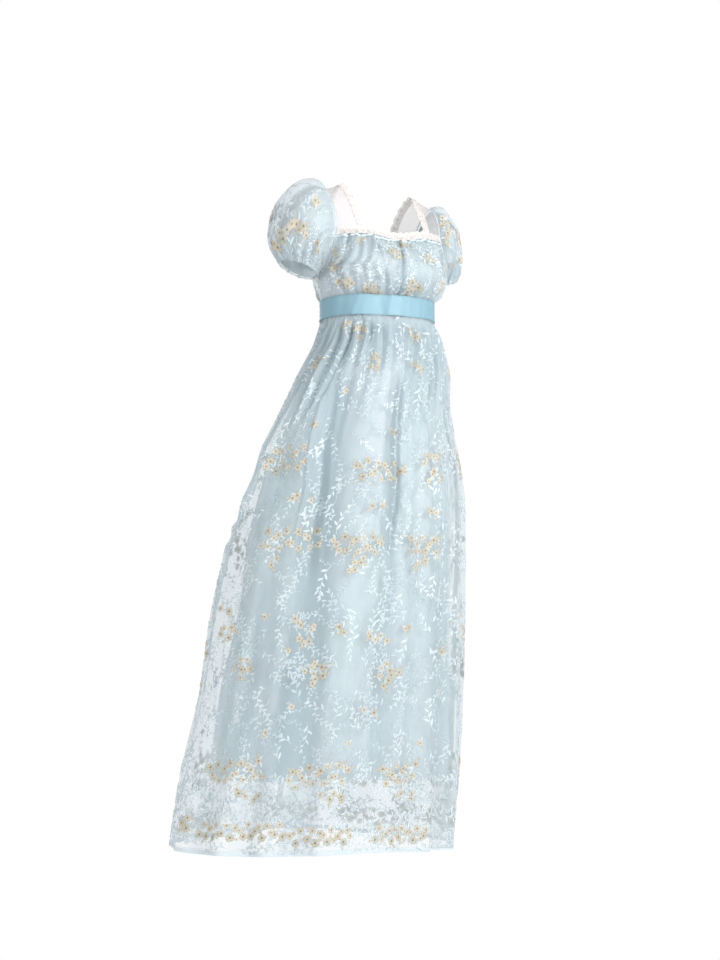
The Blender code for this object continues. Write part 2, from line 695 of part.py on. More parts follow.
clear_scene()
make_bodice("bodice_", "tulle", TORSO, BODICE_COLUMNS_PER_GATHER, 1.0)
make_bodice("bodice_lining_", "satin", TORSO_LINING, BODICE_LINING_COLUMNS_PER_GATHER, 0.0)
make_yokes()
make_shoulder_lace()
make_neck_lace()
make_sleeves()
make_ribbon()
make_skirts()
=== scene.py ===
"""An empire-line gown: satin linings under sheer embroidered tulle, lace, net yokes and a ribbon belt.

Sizes are millimetres until a mesh is made. A drop is a distance below the shoulders, and a turn is a
place round the girth: 0 is the centre back, 0.25 the left side, 0.5 the front and 0.75 the right
side. Left and right are the gown's own.
"""

import math

import bpy
import numpy as np
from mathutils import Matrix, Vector


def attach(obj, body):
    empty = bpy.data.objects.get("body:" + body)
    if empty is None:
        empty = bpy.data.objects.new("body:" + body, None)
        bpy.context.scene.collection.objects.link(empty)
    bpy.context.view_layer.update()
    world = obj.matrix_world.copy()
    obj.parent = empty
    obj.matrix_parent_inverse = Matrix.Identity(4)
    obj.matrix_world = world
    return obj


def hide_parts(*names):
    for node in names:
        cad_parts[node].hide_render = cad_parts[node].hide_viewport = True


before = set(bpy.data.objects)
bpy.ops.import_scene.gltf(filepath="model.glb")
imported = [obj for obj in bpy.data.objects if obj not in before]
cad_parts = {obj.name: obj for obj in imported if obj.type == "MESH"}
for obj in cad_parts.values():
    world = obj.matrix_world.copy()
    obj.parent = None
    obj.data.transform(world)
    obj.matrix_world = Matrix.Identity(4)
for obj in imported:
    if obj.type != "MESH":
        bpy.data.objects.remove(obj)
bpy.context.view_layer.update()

METRES = 0.001
TAU = 2 * math.pi

# Heights, as drops
NECK_FRONT = 86.0
NECK_BACK = 70.0
NECK_DIP = 11.0
NECK_DIP_REACH = 0.27
ARMHOLE_BOTTOM = 160.0
WAIST = 236.0
RIBBON_TOP = 216.0
RIBBON_BOTTOM = 256.0
LINING_HEM = 1165.0
HEM = 1297.0
ARMHOLE_GAP = 0.9

# Neckline and shoulders
NECK_HALF_FRONT = 66.0
NECK_HALF_TOP = 77.0
NECK_HALF_BACK = 70.0
ARMHOLE_X = 112.0
SHOULDER_POINT_X = 117.0
SHOULDER_INNER_RISE = 12.0
SHOULDER_OUTER_DROP = 5.0

# The pose: how far the right shoulder is up for each millimetre from the centre and between which heights,
# and how far the hem is drawn up between which distances to the right
SHOULDER_TILT = 0.085
SHOULDER_TILT_HEIGHTS = (-100.0, -10.0)
HEM_LIFT = 15.0
HEM_LIFT_ENDS = (-120.0, 120.0)

# Exponents of the nets' and armholes' curves over the shoulder
SLOPE_NECK = 1.75
SLOPE_ARMHOLE = 1.15
SLOPE_BACK = 1.15

# Level sections: drop, reach to the right, left, front and back, and the power of the oval
SECTION_COLUMNS = ("drop", "right", "left", "front", "back", "power")
TORSO = (
    (62, 128, 128, 83, 96, 2.5),
    (86, 130, 130, 91, 99, 2.5),
    (108, 130, 132, 102, 103, 2.5),
    (132, 127, 132, 117, 105, 2.7),
    (154, 125, 132, 125, 104, 2.8),
    (178, 125, 131, 124, 101, 2.7),
    (194, 122, 129, 118, 97, 2.5),
    (206, 120, 124, 109, 93, 2.4),
    (214.8, 115, 115, 93, 88, 2.3),
    (236, 115, 115, 93, 88, 2.3),
)
TORSO_LINING = (
    (62, 125, 125, 80, 93, 2.5),
    (86, 127.4, 127.4, 88.4, 96.4, 2.5),
    (108, 125, 126, 97, 98, 2.5),
    (154, 119, 125, 117, 97, 2.6),
    (194, 114.5, 119, 104, 90, 2.4),
    (214.8, 112, 112, 90, 85, 2.3),
    (236, 112, 112, 90, 85, 2.3),
)
OVERSKIRT = (
    (236, 115, 115, 93, 88, 2.3),
    (257, 115, 115, 93, 88, 2.3),
    (300, 125, 132, 101, 96, 2.2),
    (360, 158, 148, 111, 108, 2.1),
    (440, 198, 153, 122, 122, 2.0),
    (520, 240, 170, 132, 134, 2.0),
    (600, 263, 182, 140, 143, 2.0),
    (680, 300, 183, 147, 150, 2.0),
    (820, 337, 180, 158, 162, 2.0),
    (1000, 363, 173, 170, 175, 2.0),
    (1160, 400, 162, 182, 186, 2.0),
    (1297, 421, 148, 192, 195, 2.0),
)
SKIRT_LINING = (
    (236, 112, 112, 90, 85, 2.3),
    (257, 112, 112, 90, 85, 2.3),
    (300, 116, 122, 93, 87, 2.2),
    (360, 146, 136, 101, 97, 2.1),
    (440, 184, 140, 110, 109, 2.0),
    (520, 222, 150, 118, 118, 2.0),
    (600, 246, 158, 125, 126, 2.0),
    (680, 268, 156, 131, 132, 2.0),
    (820, 284, 146, 141, 142, 2.0),
    (1000, 325, 146, 148, 150, 2.0),
    (1165, 348, 145, 154, 157, 2.0),
)

# Gathers and folds of the whole skirt, as in the frame. A swing makes them uneven round the
# girth: its height, how many waves it has and their phase. The folds begin, are grown and are
# full at these distances below the ribbon
SKIRT_GATHERS = 32
SKIRT_GATHER_DEPTH = 4.5
SKIRT_GATHER_LENGTH = 190.0
GATHER_LENGTH_SWING = (0.35, 7, 1.1)
GATHER_PLACE_SWING = (0.0022, 5, 0.6)
SKIRT_FOLDS = 15
SKIRT_FOLD_DEPTH = 7.0
FOLD_DEPTH_SWING = (0.45, 3, 2.0)
FOLDS_BEGIN = 40.0
FOLDS_GROWN = 420.0
FOLDS_FULL = 1040.0
# The depth of a fold's hollow at which its painted shade and the sheer cloth's added density are full
HOLLOW_DEPTH = 24.0
RIPPLES = 41
RIPPLE_HEIGHT = 0.78
LINING_FOLDS = 14
LINING_FOLD_DEPTH = 4.0
LINING_DEPTH_SWING = (0.3, 2, 0.5)
LINING_SHARE = 0.8
LINING_INSET = 1.5
LINING_GAP = 2.0

# Small gathers below every seam: half-widths, how far each leans in turns, and how
# much wider it gets on its way
SMALL_GATHER_WIDTHS = (1.6, 3.2)
SMALL_GATHER_LEAN = 0.006
SMALL_GATHER_SPREAD = 0.018

# Broad folds of the overskirt: place at the top and at the hem, half-width, depth inward, first and last drop
FOLD_COLUMNS = ("turn_top", "turn_hem", "width", "depth", "first", "last")
BROAD_FOLDS = (
    (0.600, 0.585, 0.020, 13, 330, 1297),
    (0.485, 0.470, 0.012, 7, 420, 1297),
    (0.655, 0.690, 0.016, 9, 560, 1297),
    (0.370, 0.360, 0.015, 6, 480, 1297),
    (0.130, 0.120, 0.020, 10, 380, 1297),
    (0.870, 0.880, 0.018, 10, 380, 1297),
)
# Where the skirt is drawn out on the right, the ridges that run there (turn at the waist and height),
# and the short creases that spread from it
PULL_TURN = 0.755
PULL_DROP = 670.0
PULL_RIDGES = ((0.655, 5.0), (0.690, 6.0), (0.722, 5.0))
PULL_RIDGE_WIDTH = 0.011
PULL_RIDGE_ENDS = (610.0, 680.0)
PINCH_DROP = 678.0
PINCH_RAYS = 7
PINCH_HEIGHT = 3.2
PINCH_REACH = 75.0

# Creases laid in the overskirt: place and drop at both ends, half-width and height in
# mm, where a negative height is a trough
CREASE_COLUMNS = ("turn_a", "drop_a", "turn_b", "drop_b", "width", "height")
SKIRT_CREASES = (
    (0.627, 254, 0.668, 470, 3.6, -7.5),
    (0.636, 254, 0.684, 520, 5.0, 4.5),
    (0.618, 254, 0.650, 400, 3.6, 3.5),
    (0.579, 254, 0.596, 360, 3.2, -6.5),
    (0.590, 254, 0.612, 420, 5.0, 3.0),
    (0.548, 254, 0.540, 400, 4.5, -3.0),
    (0.530, 254, 0.520, 330, 4.0, 3.0),
    (0.505, 254, 0.497, 470, 4.5, -3.2),
    (0.480, 254, 0.478, 360, 4.0, 2.6),
    (0.452, 254, 0.462, 430, 4.5, -3.6),
    (0.428, 254, 0.442, 370, 3.2, -6.5),
    (0.405, 254, 0.418, 420, 4.0, 4.0),
    (0.374, 254, 0.392, 480, 3.8, -6.0),
    (0.494, 360, 0.482, 820, 3.4, 7.0),
    (0.486, 360, 0.474, 840, 4.6, -7.0),
    (0.634, 380, 0.594, 860, 9.0, -7.0),
    (0.618, 400, 0.580, 880, 6.0, 4.0),
    (0.655, 400, 0.630, 760, 3.4, 6.5),
    (0.355, 300, 0.358, 1290, 5.0, -5.0),
    (0.366, 320, 0.368, 1290, 5.0, 4.0),
    (0.690, 254, 0.735, 560, 6.0, 3.5),
    (0.705, 254, 0.742, 600, 5.0, -4.0),
    (0.624, 470, 0.592, 1250, 19.0, -7.0),
    (0.650, 520, 0.634, 1100, 14.0, 3.5),
    (0.545, 430, 0.540, 980, 17.0, 4.0),
    (0.520, 560, 0.512, 1240, 12.0, 2.5),
    (0.455, 520, 0.445, 1180, 14.0, 3.5),
    (0.425, 620, 0.418, 1290, 12.0, -3.0),
    (0.395, 480, 0.392, 1050, 13.0, 3.0),
    (0.672, 760, 0.662, 1290, 14.0, -3.5),
    (0.715, 760, 0.722, 1290, 16.0, 3.5),
    (0.575, 900, 0.566, 1290, 12.0, -3.0),
    (0.466, 290, 0.454, 620, 6.0, -5.0),
    (0.448, 280, 0.440, 600, 6.0, 4.5),
    (0.430, 256, 0.428, 560, 4.0, -6.5),
    (0.404, 280, 0.408, 620, 7.0, -5.0),
    (0.386, 270, 0.386, 640, 4.6, -5.5),
    (0.395, 280, 0.396, 560, 5.0, 4.0),
    (0.345, 270, 0.340, 620, 5.0, -5.0),
    (0.685, 256, 0.712, 520, 3.4, -6.0),
    (0.660, 256, 0.694, 500, 3.4, -6.0),
    (0.672, 256, 0.704, 520, 4.0, 5.0),
)
# How the creases fade in and out, as shares of their length
CREASE_FADE_IN = (-0.02, 0.12)
CREASE_FADE_OUT = (0.55, 1.0)
# The front's creases and flowers stand again round the back, moved by these turns. The flowers
# of each repeat fill one reach of turns
REPEATS = (0.0, 0.42, -0.42)
REPEAT_REACH = ((0.335, 0.755), (0.755, 0.915), (-0.085, 0.335))
# Creases of the lining. Where one ends past the hem, it is still deep there
LINING_CREASES = (
    (0.640, 375, 0.611, 830, 47.0, -35.0),
    (0.602, 390, 0.580, 960, 10.0, 6.0),
    (0.612, 590, 0.603, 1700, 38.0, -29.0),
    (0.578, 380, 0.562, 1500, 24.0, 8.0),
    (0.540, 420, 0.532, 1500, 22.0, 5.0),
    (0.490, 320, 0.473, 1500, 13.0, -13.0),
    (0.462, 360, 0.450, 1500, 16.0, 6.0),
    (0.425, 400, 0.418, 1500, 12.0, -5.0),
    (0.395, 400, 0.387, 1500, 16.0, 5.0),
    (0.362, 400, 0.360, 1500, 12.0, -6.0),
    (0.656, 480, 0.642, 1500, 18.0, 6.0),
    (0.702, 480, 0.684, 1500, 19.0, -12.0),
    (0.517, 560, 0.508, 1500, 9.0, -3.0),
    (0.556, 640, 0.548, 1500, 9.0, -3.0),
)

# Bodice panels: start and end angle, width for the creases, even gathers and the seed of its small gathers
BODICE_PANEL_COLUMNS = ("side", "start", "end", "width", "gathers", "seed")
BODICE_PANELS = (
    ("front", 0.0, math.pi, 300.0, 16, 21),
    ("back_right", math.pi, 1.5 * math.pi, 150.0, 6, 22),
    ("back_left", 1.5 * math.pi, TAU, 150.0, 6, 23),
)
BODICE_GATHER_DEPTH = 1.21
NECK_GATHER_PITCH = 6.5
WAIST_GATHER_PITCH = 5.5
# Creases of the bodice front: place across at the neckline, half way and at the waist, half-width, height
BODICE_CREASE_COLUMNS = ("neck", "middle", "waist", "width", "height")
BODICE_CREASES = (
    (0.484, 0.510, 0.500, 3.2, -8.0),
    (0.512, 0.540, 0.526, 4.5, 4.0),
    (0.462, 0.486, 0.474, 4.0, 3.0),
    (0.720, 0.625, 0.570, 3.6, -4.6),
    (0.745, 0.655, 0.600, 5.0, 4.0),
    (0.620, 0.600, 0.586, 3.4, -2.6),
    (0.815, 0.775, 0.748, 3.8, -4.6),
    (0.840, 0.810, 0.780, 5.5, 3.6),
    (0.770, 0.720, 0.680, 3.6, -3.0),
    (0.700, 0.690, 0.650, 4.6, 2.6),
    (0.420, 0.425, 0.398, 3.8, -4.0),
    (0.385, 0.395, 0.372, 5.5, 3.4),
    (0.350, 0.345, 0.335, 3.4, -2.6),
    (0.310, 0.298, 0.300, 3.6, -3.6),
    (0.275, 0.268, 0.278, 5.0, 3.0),
    (0.180, 0.200, 0.215, 4.0, -3.2),
    (0.900, 0.858, 0.806, 3.2, -6.5),
    (0.930, 0.888, 0.836, 4.5, 3.6),
)

# Creases of the ribbon: turn at its upper and lower edge, half-width in turns, and height
RIBBON_LIFT = 2.3
RIBBON_CREASE_COLUMNS = ("upper", "lower", "width", "height")
RIBBON_CREASES = (
    (0.608, 0.624, 0.034, 4.8),
    (0.497, 0.503, 0.030, 3.6),
    (0.612, 0.632, 0.008, 1.2),
    (0.660, 0.666, 0.014, -0.8),
    (0.556, 0.548, 0.012, -0.9),
    (0.520, 0.530, 0.010, 0.9),
    (0.462, 0.455, 0.008, 0.5),
    (0.405, 0.415, 0.006, -0.5),
    (0.300, 0.292, 0.010, 0.5),
    (0.170, 0.180, 0.008, 0.5),
    (0.050, 0.060, 0.008, -0.5),
    (0.830, 0.820, 0.010, 0.6),
    (0.930, 0.940, 0.007, -0.5),
)

# Puff sleeves: the ring at the hem and the handles of the curves that puff them, as in the frame
HEM_RING = {
    "right": {"x": 170.5, "y": 0.0, "drop": 161.0, "across": 38.5, "deep": 44.0, "tilt": 23.0},
    "left": {"x": 160.0, "y": 26.0, "drop": 167.0, "across": 27.0, "deep": 43.0, "tilt": 20.0},
}
PUFF_COLUMNS = ("side", "lift", "out", "spread", "rise")
PUFFS = {
    "right": (
        ("outer", 58, 48, 71, 34),
        ("front", 26, 44, 34, 36),
        ("inner", 3, 6, 5, 6),
        ("back", 26, 44, 32, 36),
    ),
    "left": (
        ("outer", 45, 40, 30, 32),
        ("front", 20, 38, 26, 34),
        ("inner", 3, 6, 4, 6),
        ("back", 26, 44, 30, 36),
    ),
}
SLEEVE_GATHERS = 18
SLEEVE_GATHER_DEPTH = 1.68
SLEEVE_GIRTH = 330.0
SLEEVE_SEEDS = {"left": 31, "right": 33}
# The elastic's place as a share of the way down, its half-width and depth, and how far the frill stands out
ELASTIC_SHARE = 0.925
ELASTIC_WIDTH = 0.018
ELASTIC_DEPTH = 1.6
FRILL_LIFT = 0.9
# Creases laid in a left sleeve, in the skirt's columns but with hundredths of the way down for drops
SLEEVE_CREASES = (
    (0.262, 4, 0.290, 110, 5.0, 4.2),
    (0.232, 4, 0.258, 110, 3.6, -4.4),
    (0.197, 2, 0.208, 66, 4.6, 2.6),
    (0.166, 2, 0.160, 54, 3.4, -3.4),
    (0.124, 2, 0.112, 58, 4.6, 2.8),
    (0.086, 2, 0.070, 66, 3.8, -3.4),
    (0.040, 2, 0.022, 76, 5.0, 3.2),
    (0.004, 2, -0.016, 60, 3.6, -3.2),
    (0.204, 103, 0.176, 46, 4.2, -3.6),
    (0.178, 103, 0.152, 52, 5.0, 3.0),
    (0.128, 103, 0.120, 44, 3.8, -3.4),
    (0.092, 103, 0.078, 50, 5.0, 3.2),
    (0.050, 103, 0.050, 40, 4.0, -3.4),
    (0.008, 103, 0.020, 48, 5.0, 3.0),
)
SLEEVE_CREASE_REPEATS = (0.0, -0.33)
SLEEVE_LINING_PUFF = 0.78
SLEEVE_LINING_INSET = {"right": 4.0, "left": 4.2}
SLEEVE_LINING_END = 0.95
SLEEVE_LINING_GATHERS = 11
PIPING_RADIUS = 1.1
PIPING_OUT = 0.6

# Lace: its width, how much of it stands above the edge, and its scallops. Its ends are shares
# of the edge that it runs along. Its cords are laid in stitches: how many for each scallop, how
# long one is and how far back it starts
LACE_WIDTH = 17.0
LACE_ABOVE_EDGE = 5.0
SCALLOP_DEPTH = 3.0
NECK_SCALLOPS = 18
NECK_LACE_END = 0.012
NECK_LACE_COLUMNS = ("side", "start", "end", "lift")
NECK_LACE = (("front", 0.0, math.pi, 3.2), ("back", math.pi, TAU, 2.0))
SHOULDER_SCALLOPS = 12
SHOULDER_LACE_ENDS = (0.026, 0.970)
SHOULDER_LACE_LIFT = 1.1
CORDS_PER_SCALLOP = 6
CORD_STEP = 4.6
CORD_BACK = 2.4

# How finely each cloth is divided: columns and rows
SKIRT_GRID = (600, 190)
LINING_GRID = (340, 108)
BODICE_GRID = (240, 44)
SLEEVE_GRID = (300, 60)
SLEEVE_LINING_GRID = (120, 30)
SHOULDER_NET_GRID = (16, 60)
RIBBON_GRID = (480, 15)
PIPING_GRID = (160, 9)
LACE_ROWS = 5
SCALLOP_STEPS = 8
# Steps along a row while its length is measured, and level rows that slanted ones are read from
FINE_STEPS = 721
SLANT_STEPS = 90

# The skirt's panels, each between two turns
SKIRT_PANELS = {"front": (0.25, 0.75), "back_right": (0.75, 1.0), "back_left": (0.0, 0.25)}

# Embroidery: its three threads, how far it stands off the tulle, and how high its patches are
PALE, GOLD, CENTRE = 0, 1, 2
STITCH_LIFT = 0.35
LEAF_LIFT = 0.05
DISC_LIFT = 0.3
STEM_HEIGHT = 0.45
# Sprigs: how many leaves, their step along the stem, length and width, the stem's bend and the leaves' spread
SPRIG_COLUMNS = ("leaves", "step", "leaf", "width", "bend", "spread")
SPRIGS = (
    (7, 8.6, 14.5, 5.6, 0.7, 48),
    (6, 9.6, 16.0, 6.0, -0.8, 42),
    (9, 7.4, 12.5, 5.0, 1.2, 54),
    (5, 9.2, 15.5, 6.0, 0.3, 40),
    (12, 8.0, 10.0, 4.2, -2.2, 60),
)
# Flower groups: place across a cloth, share of the way down it, width and height, slope, and how many
# flowers. The overskirt's are on its front, by turn and drop
GROUP_COLUMNS = ("place", "share", "width", "height", "slope", "count")
SKIRT_GROUP_COLUMNS = ("turn", "drop", "width", "height", "slope", "count")
FLOWER_GROUPS = (
    (0.650, 272, 26, 10, 0.1, 2),
    (0.610, 288, 30, 26, 0.6, 4),
    (0.452, 292, 18, 34, 1.2, 4),
    (0.560, 352, 34, 26, -0.7, 4),
    (0.448, 356, 14, 42, 1.5, 3),
    (0.700, 352, 26, 18, -0.6, 3),
    (0.609, 411, 12, 12, 0.0, 1),
    (0.650, 475, 16, 12, 0.0, 1),
    (0.490, 485, 14, 12, 0.0, 1),
    (0.686, 543, 96, 44, 0.05, 10),
    (0.515, 566, 122, 34, -0.05, 11),
    (0.402, 556, 62, 52, 0.1, 8),
    (0.643, 620, 10, 40, 1.5, 3),
    (0.511, 634, 10, 40, 1.5, 3),
    (0.402, 642, 10, 38, 1.5, 3),
    (0.640, 699, 126, 34, 0.02, 12),
    (0.535, 709, 112, 30, 0.0, 11),
    (0.412, 708, 106, 30, 0.0, 10),
    (0.658, 741, 18, 14, 0.0, 2),
    (0.535, 748, 44, 12, 0.8, 4),
    (0.424, 744, 40, 12, 0.8, 3),
    (0.722, 836, 16, 24, 1.0, 2),
    (0.712, 878, 40, 22, 0.2, 4),
    (0.658, 855, 14, 16, 0.0, 1),
    (0.601, 862, 14, 46, 1.3, 4),
    (0.598, 896, 30, 12, 0.0, 3),
    (0.619, 908, 18, 12, 0.0, 1),
    (0.547, 873, 20, 12, 0.0, 2),
    (0.492, 888, 12, 52, 1.3, 4),
    (0.446, 871, 20, 12, 0.0, 2),
    (0.362, 910, 28, 20, 0.8, 3),
    (0.683, 946, 40, 30, 0.7, 6),
    (0.578, 953, 44, 34, 0.8, 7),
    (0.475, 958, 44, 32, 0.8, 7),
    (0.368, 990, 18, 14, 0.0, 1),
    (0.606, 1023, 14, 14, 0.0, 1),
    (0.496, 1031, 8, 30, 1.5, 2),
    (0.635, 1073, 14, 12, 0.0, 1),
    (0.524, 1089, 14, 12, 0.0, 1),
    (0.411, 1085, 16, 12, 0.0, 1),
    (0.668, 1143, 120, 34, 0.1, 13),
    (0.556, 1150, 124, 34, 0.1, 13),
    (0.441, 1150, 90, 32, 0.1, 10),
    (0.645, 1185, 14, 50, 1.4, 4),
    (0.536, 1190, 14, 50, 1.4, 4),
    (0.431, 1190, 14, 46, 1.4, 4),
    (0.650, 1252, 190, 24, 0.02, 18),
    (0.545, 1262, 130, 24, 0.0, 13),
    (0.433, 1264, 130, 24, 0.0, 13),
    (0.728, 1246, 30, 20, 0.3, 4),
)
# A group of more than three flowers has this share more of them
EXTRA_FLOWERS = 0.35
# Trailing vines on the overskirt's front: turn, drop, heading in turns (0 round, 0.25 down), bend and size
VINE_COLUMNS = ("turn", "drop", "heading", "bend", "size")
VINES = (
    (0.700, 800, 0.22, 1.0, 1.1),
    (0.690, 880, 0.28, -1.0, 1.2),
    (0.672, 870, 0.20, 1.0, 1.0),
    (0.605, 905, 0.20, -1.0, 1.1),
    (0.592, 880, 0.30, 1.0, 1.2),
    (0.580, 830, 0.10, -1.0, 0.9),
    (0.520, 800, 0.62, 1.0, 1.0),
    (0.500, 905, 0.30, -1.0, 1.2),
    (0.480, 880, 0.20, 1.0, 1.0),
    (0.430, 900, 0.24, -1.0, 1.1),
    (0.400, 830, 0.60, 1.0, 1.0),
    (0.650, 990, 0.26, 1.0, 1.2),
    (0.610, 1010, 0.22, -1.0, 1.1),
    (0.570, 1020, 0.30, 1.0, 1.1),
    (0.500, 1000, 0.22, 1.0, 1.0),
    (0.455, 1010, 0.30, -1.0, 1.1),
    (0.620, 585, 0.24, 1.0, 1.0),
    (0.585, 620, 0.72, -1.0, 1.0),
    (0.480, 620, 0.24, 1.0, 1.0),
    (0.625, 760, 0.26, -1.0, 1.1),
    (0.478, 760, 0.24, 1.0, 1.1),
    (0.380, 770, 0.26, -1.0, 1.0),
    (0.560, 470, 0.70, 1.0, 1.0),
    (0.470, 430, 0.26, -1.0, 1.0),
    (0.690, 450, 0.24, 1.0, 1.0),
)
# Sprigs over the overskirt: the drops between which they stand well apart, and then closer on the sheer hem
SPRIG_DROPS = (262.0, 1150.0, 1292.0)
SPRIG_SPACING = (44.0, 37.0)
SPRIG_SPACING_SHEER = (36.0, 22.0)
SPRIG_FLAT_SHARE = 0.75
SPRIG_JITTER = 13.0
BODICE_SPRIG_SPACING = (30.0, 22.0)
BODICE_SPRIG_SCALE = 0.85
SLEEVE_SPRIG_SPACING = (34.0, 22.0)
CUFF_SPRIG_SPACING = (23.0, 15.0)
SLEEVE_SPRIG_SCALE = 0.75
CHART_SEED = 11

BODICE_GROUPS = (
    (0.783, 0.14, 16, 12, 0.0, 2),
    (0.545, 0.30, 26, 18, 0.3, 4),
    (0.471, 0.10, 20, 16, 0.2, 3),
    (0.660, 0.80, 14, 32, 1.4, 4),
    (0.440, 0.74, 34, 22, -0.7, 5),
    (0.942, 0.32, 14, 18, 1.2, 2),
    (0.880, 0.50, 16, 34, 1.3, 4),
    (0.810, 0.72, 12, 40, 1.4, 5),
    (0.330, 0.35, 24, 16, 0.3, 3),
    (0.250, 0.70, 30, 20, -0.5, 4),
    (0.120, 0.45, 18, 30, 1.2, 4),
)
BODICE_BACK_GROUPS = (
    (0.20, 0.25, 26, 18, 0.3, 4),
    (0.55, 0.55, 30, 22, -0.5, 5),
    (0.30, 0.82, 16, 28, 1.3, 4),
    (0.80, 0.30, 18, 14, 0.2, 3),
    (0.82, 0.80, 26, 16, 0.0, 3),
)
# On a sleeve the place is round the armhole
SLEEVE_BACK_GROUPS = (
    (0.90, 0.55, 60, 20, -0.1, 5),
    (0.78, 0.62, 40, 22, 0.0, 3),
    (0.90, 0.26, 18, 12, 0.2, 2),
    (0.66, 0.45, 18, 16, 0.0, 2),
)
SLEEVE_GROUPS = {
    "right": (
        (0.147, 0.29, 16, 10, 0.2, 2),
        (0.127, 0.65, 24, 16, 0.6, 3),
        (0.172, 0.63, 18, 12, 0.4, 2),
        (0.262, 0.60, 12, 14, 1.2, 2),
        (0.285, 0.70, 10, 10, 0.0, 1),
        (0.030, 0.84, 30, 14, 0.3, 3),
        (0.087, 0.75, 20, 14, 0.4, 2),
        *SLEEVE_BACK_GROUPS,
    ),
    "left": (
        (0.170, 0.12, 48, 14, 0.2, 4),
        (0.240, 0.14, 34, 12, 0.2, 3),
        (0.060, 0.50, 60, 20, 0.1, 5),
        (0.160, 0.56, 44, 20, 0.5, 3),
        (0.300, 0.55, 14, 30, 1.3, 2),
        *SLEEVE_BACK_GROUPS,
    ),
}

# Materials: a wave texture's period at a scale of 1, and the scale that draws out the satin's long patches of
# painted sheen
WAVE_PERIOD = TAU / 20
SHEEN_STREAK_SCALE = (16.0, 2.4, 1.0)

# Square lights, in metres and watts, and the strength of the white all round
LIGHT_COLUMNS = ("name", "place", "target", "size", "power", "colour")
LIGHTS = (
    ("key", (2.1, -3.6, 1.2), (0.0, 0.0, -0.5), 1.8, 75.0, (1.0, 0.99, 0.98)),
    ("low", (0.4, -3.4, -1.2), (0.0, 0.0, -0.2), 1.6, 28.0, (1.0, 1.0, 1.0)),
    ("near", (0.5, -1.7, -0.1), (0.0, 0.0, -0.1), 0.9, 17.5, (1.0, 1.0, 1.0)),
    ("fill", (-4.0, -2.0, 0.6), (0.0, 0.0, -0.7), 1.6, 62.0, (0.98, 0.99, 1.0)),
    ("back", (1.2, 4.2, 1.4), (0.0, 0.0, -0.7), 2.6, 125.0, (1.0, 1.0, 1.0)),
)
AMBIENT = 0.6

# The camera, ahead and to the right of the gown and level with its middle. The picture's
# size, focal length and axis are in pixels
CAMERA_TURN = math.radians(25)
CAMERA_DISTANCE = 3.5
CAMERA_HEIGHT = -0.81
PICTURE = (720, 960)
FOCAL_PIXELS = 1750.0
AXIS_PIXEL = (377.0, 598.0)
SENSOR = 36.0
FLOOR_HEIGHT = -1.42
FLOOR_HALF = 14.0


def srgb(red, green, blue):
    """A colour given in display values from 0 to 255, in linear light."""
    share = np.array([red, green, blue]) / 255
    linear = np.where(share <= 0.04045, share / 12.92, ((share + 0.055) / 1.055) ** 2.4)
    return (*linear.tolist(), 1.0)


def named_rows(columns, table):
    """The rows of a table, each with its values under the names of their columns."""
    return [dict(zip(columns, row)) for row in table]


def ease(value, low, high):
    """0 below low, 1 above high, and a smooth rise between: the cubic 3 s squared less 2 s cubed."""
    share = np.clip((value - low) / (high - low), 0.0, 1.0)
    return share * share * (3 - 2 * share)


def ramp(value, low, high, first, last):
    """first below low, last above high, and a smooth change between."""
    return first + (last - first) * ease(value, low, high)


def swing(turn, height, count, phase):
    """A slow wave round the girth: height times the sine of count turns and a phase."""
    return height * np.sin(TAU * count * turn + phase)


def ridge(distance, width):
    """A soft ridge: the bell curve e to the minus (distance / width) squared, which is 1 on its line."""
    return np.exp(-((distance / width) ** 2))


def round_distance(turn, place):
    """How far round the girth a place is, as a share from -0.5 to 0.5."""
    return (turn - place + 0.5) % 1.0 - 0.5


def section(table, drop):
    """The sizes of a level section at each drop, on a smooth cubic curve through the table's rows."""
    rows = np.array(table, float)
    place = rows[:, 0]
    drop = np.clip(drop, place[0], place[-1])
    index = np.clip(np.searchsorted(place, drop) - 1, 0, len(place) - 2)
    step = place[index + 1] - place[index]
    share = (drop - place[index]) / step
    sizes = {}
    for column, name in enumerate(SECTION_COLUMNS[1:], 1):
        slope = np.gradient(rows[:, column], place)
        before, after = rows[index, column], rows[index + 1, column]
        sizes[name] = (
            before * (2 * share**3 - 3 * share**2 + 1)
            + slope[index] * step * (share**3 - 2 * share**2 + share)
            + after * (3 * share**2 - 2 * share**3)
            + slope[index + 1] * step * (share**3 - share**2)
        )
    return sizes


def oval(sizes, angle):
    """x and y on a level oval: half-sizes times cosine and sine, each raised to 2 /
    power with its sign kept."""
    half = (sizes["left"] + sizes["right"]) / 2
    middle = (sizes["left"] - sizes["right"]) / 2
    along, forward = np.cos(angle), np.sin(angle)
    reach = np.where(forward > 0, sizes["front"], sizes["back"])
    power = 2 / sizes["power"]
    x = middle + half * np.sign(along) * np.abs(along) ** power
    y = -reach * np.sign(forward) * np.abs(forward) ** power
    return x, y


def level_rows(table, drops, start, end, share):
    """Points on level ovals, even along the girth of each row from its start angle to its end angle."""
    fine = np.linspace(0, 1, FINE_STEPS)[None, :]
    sizes = {name: value[:, None] for name, value in section(table, drops).items()}
    angle = start[:, None] + (end - start)[:, None] * fine
    x, y = oval(sizes, angle)
    length = np.zeros_like(x)
    length[:, 1:] = np.cumsum(np.hypot(np.diff(x), np.diff(y)), axis=1)
    points = np.empty((len(drops), len(share), 3))
    for row, whole in enumerate(length[:, -1]):
        points[row, :, 0] = np.interp(share * whole, length[row], x[row])
        points[row, :, 1] = np.interp(share * whole, length[row], y[row])
        points[row, :, 2] = -drops[row]
    return points


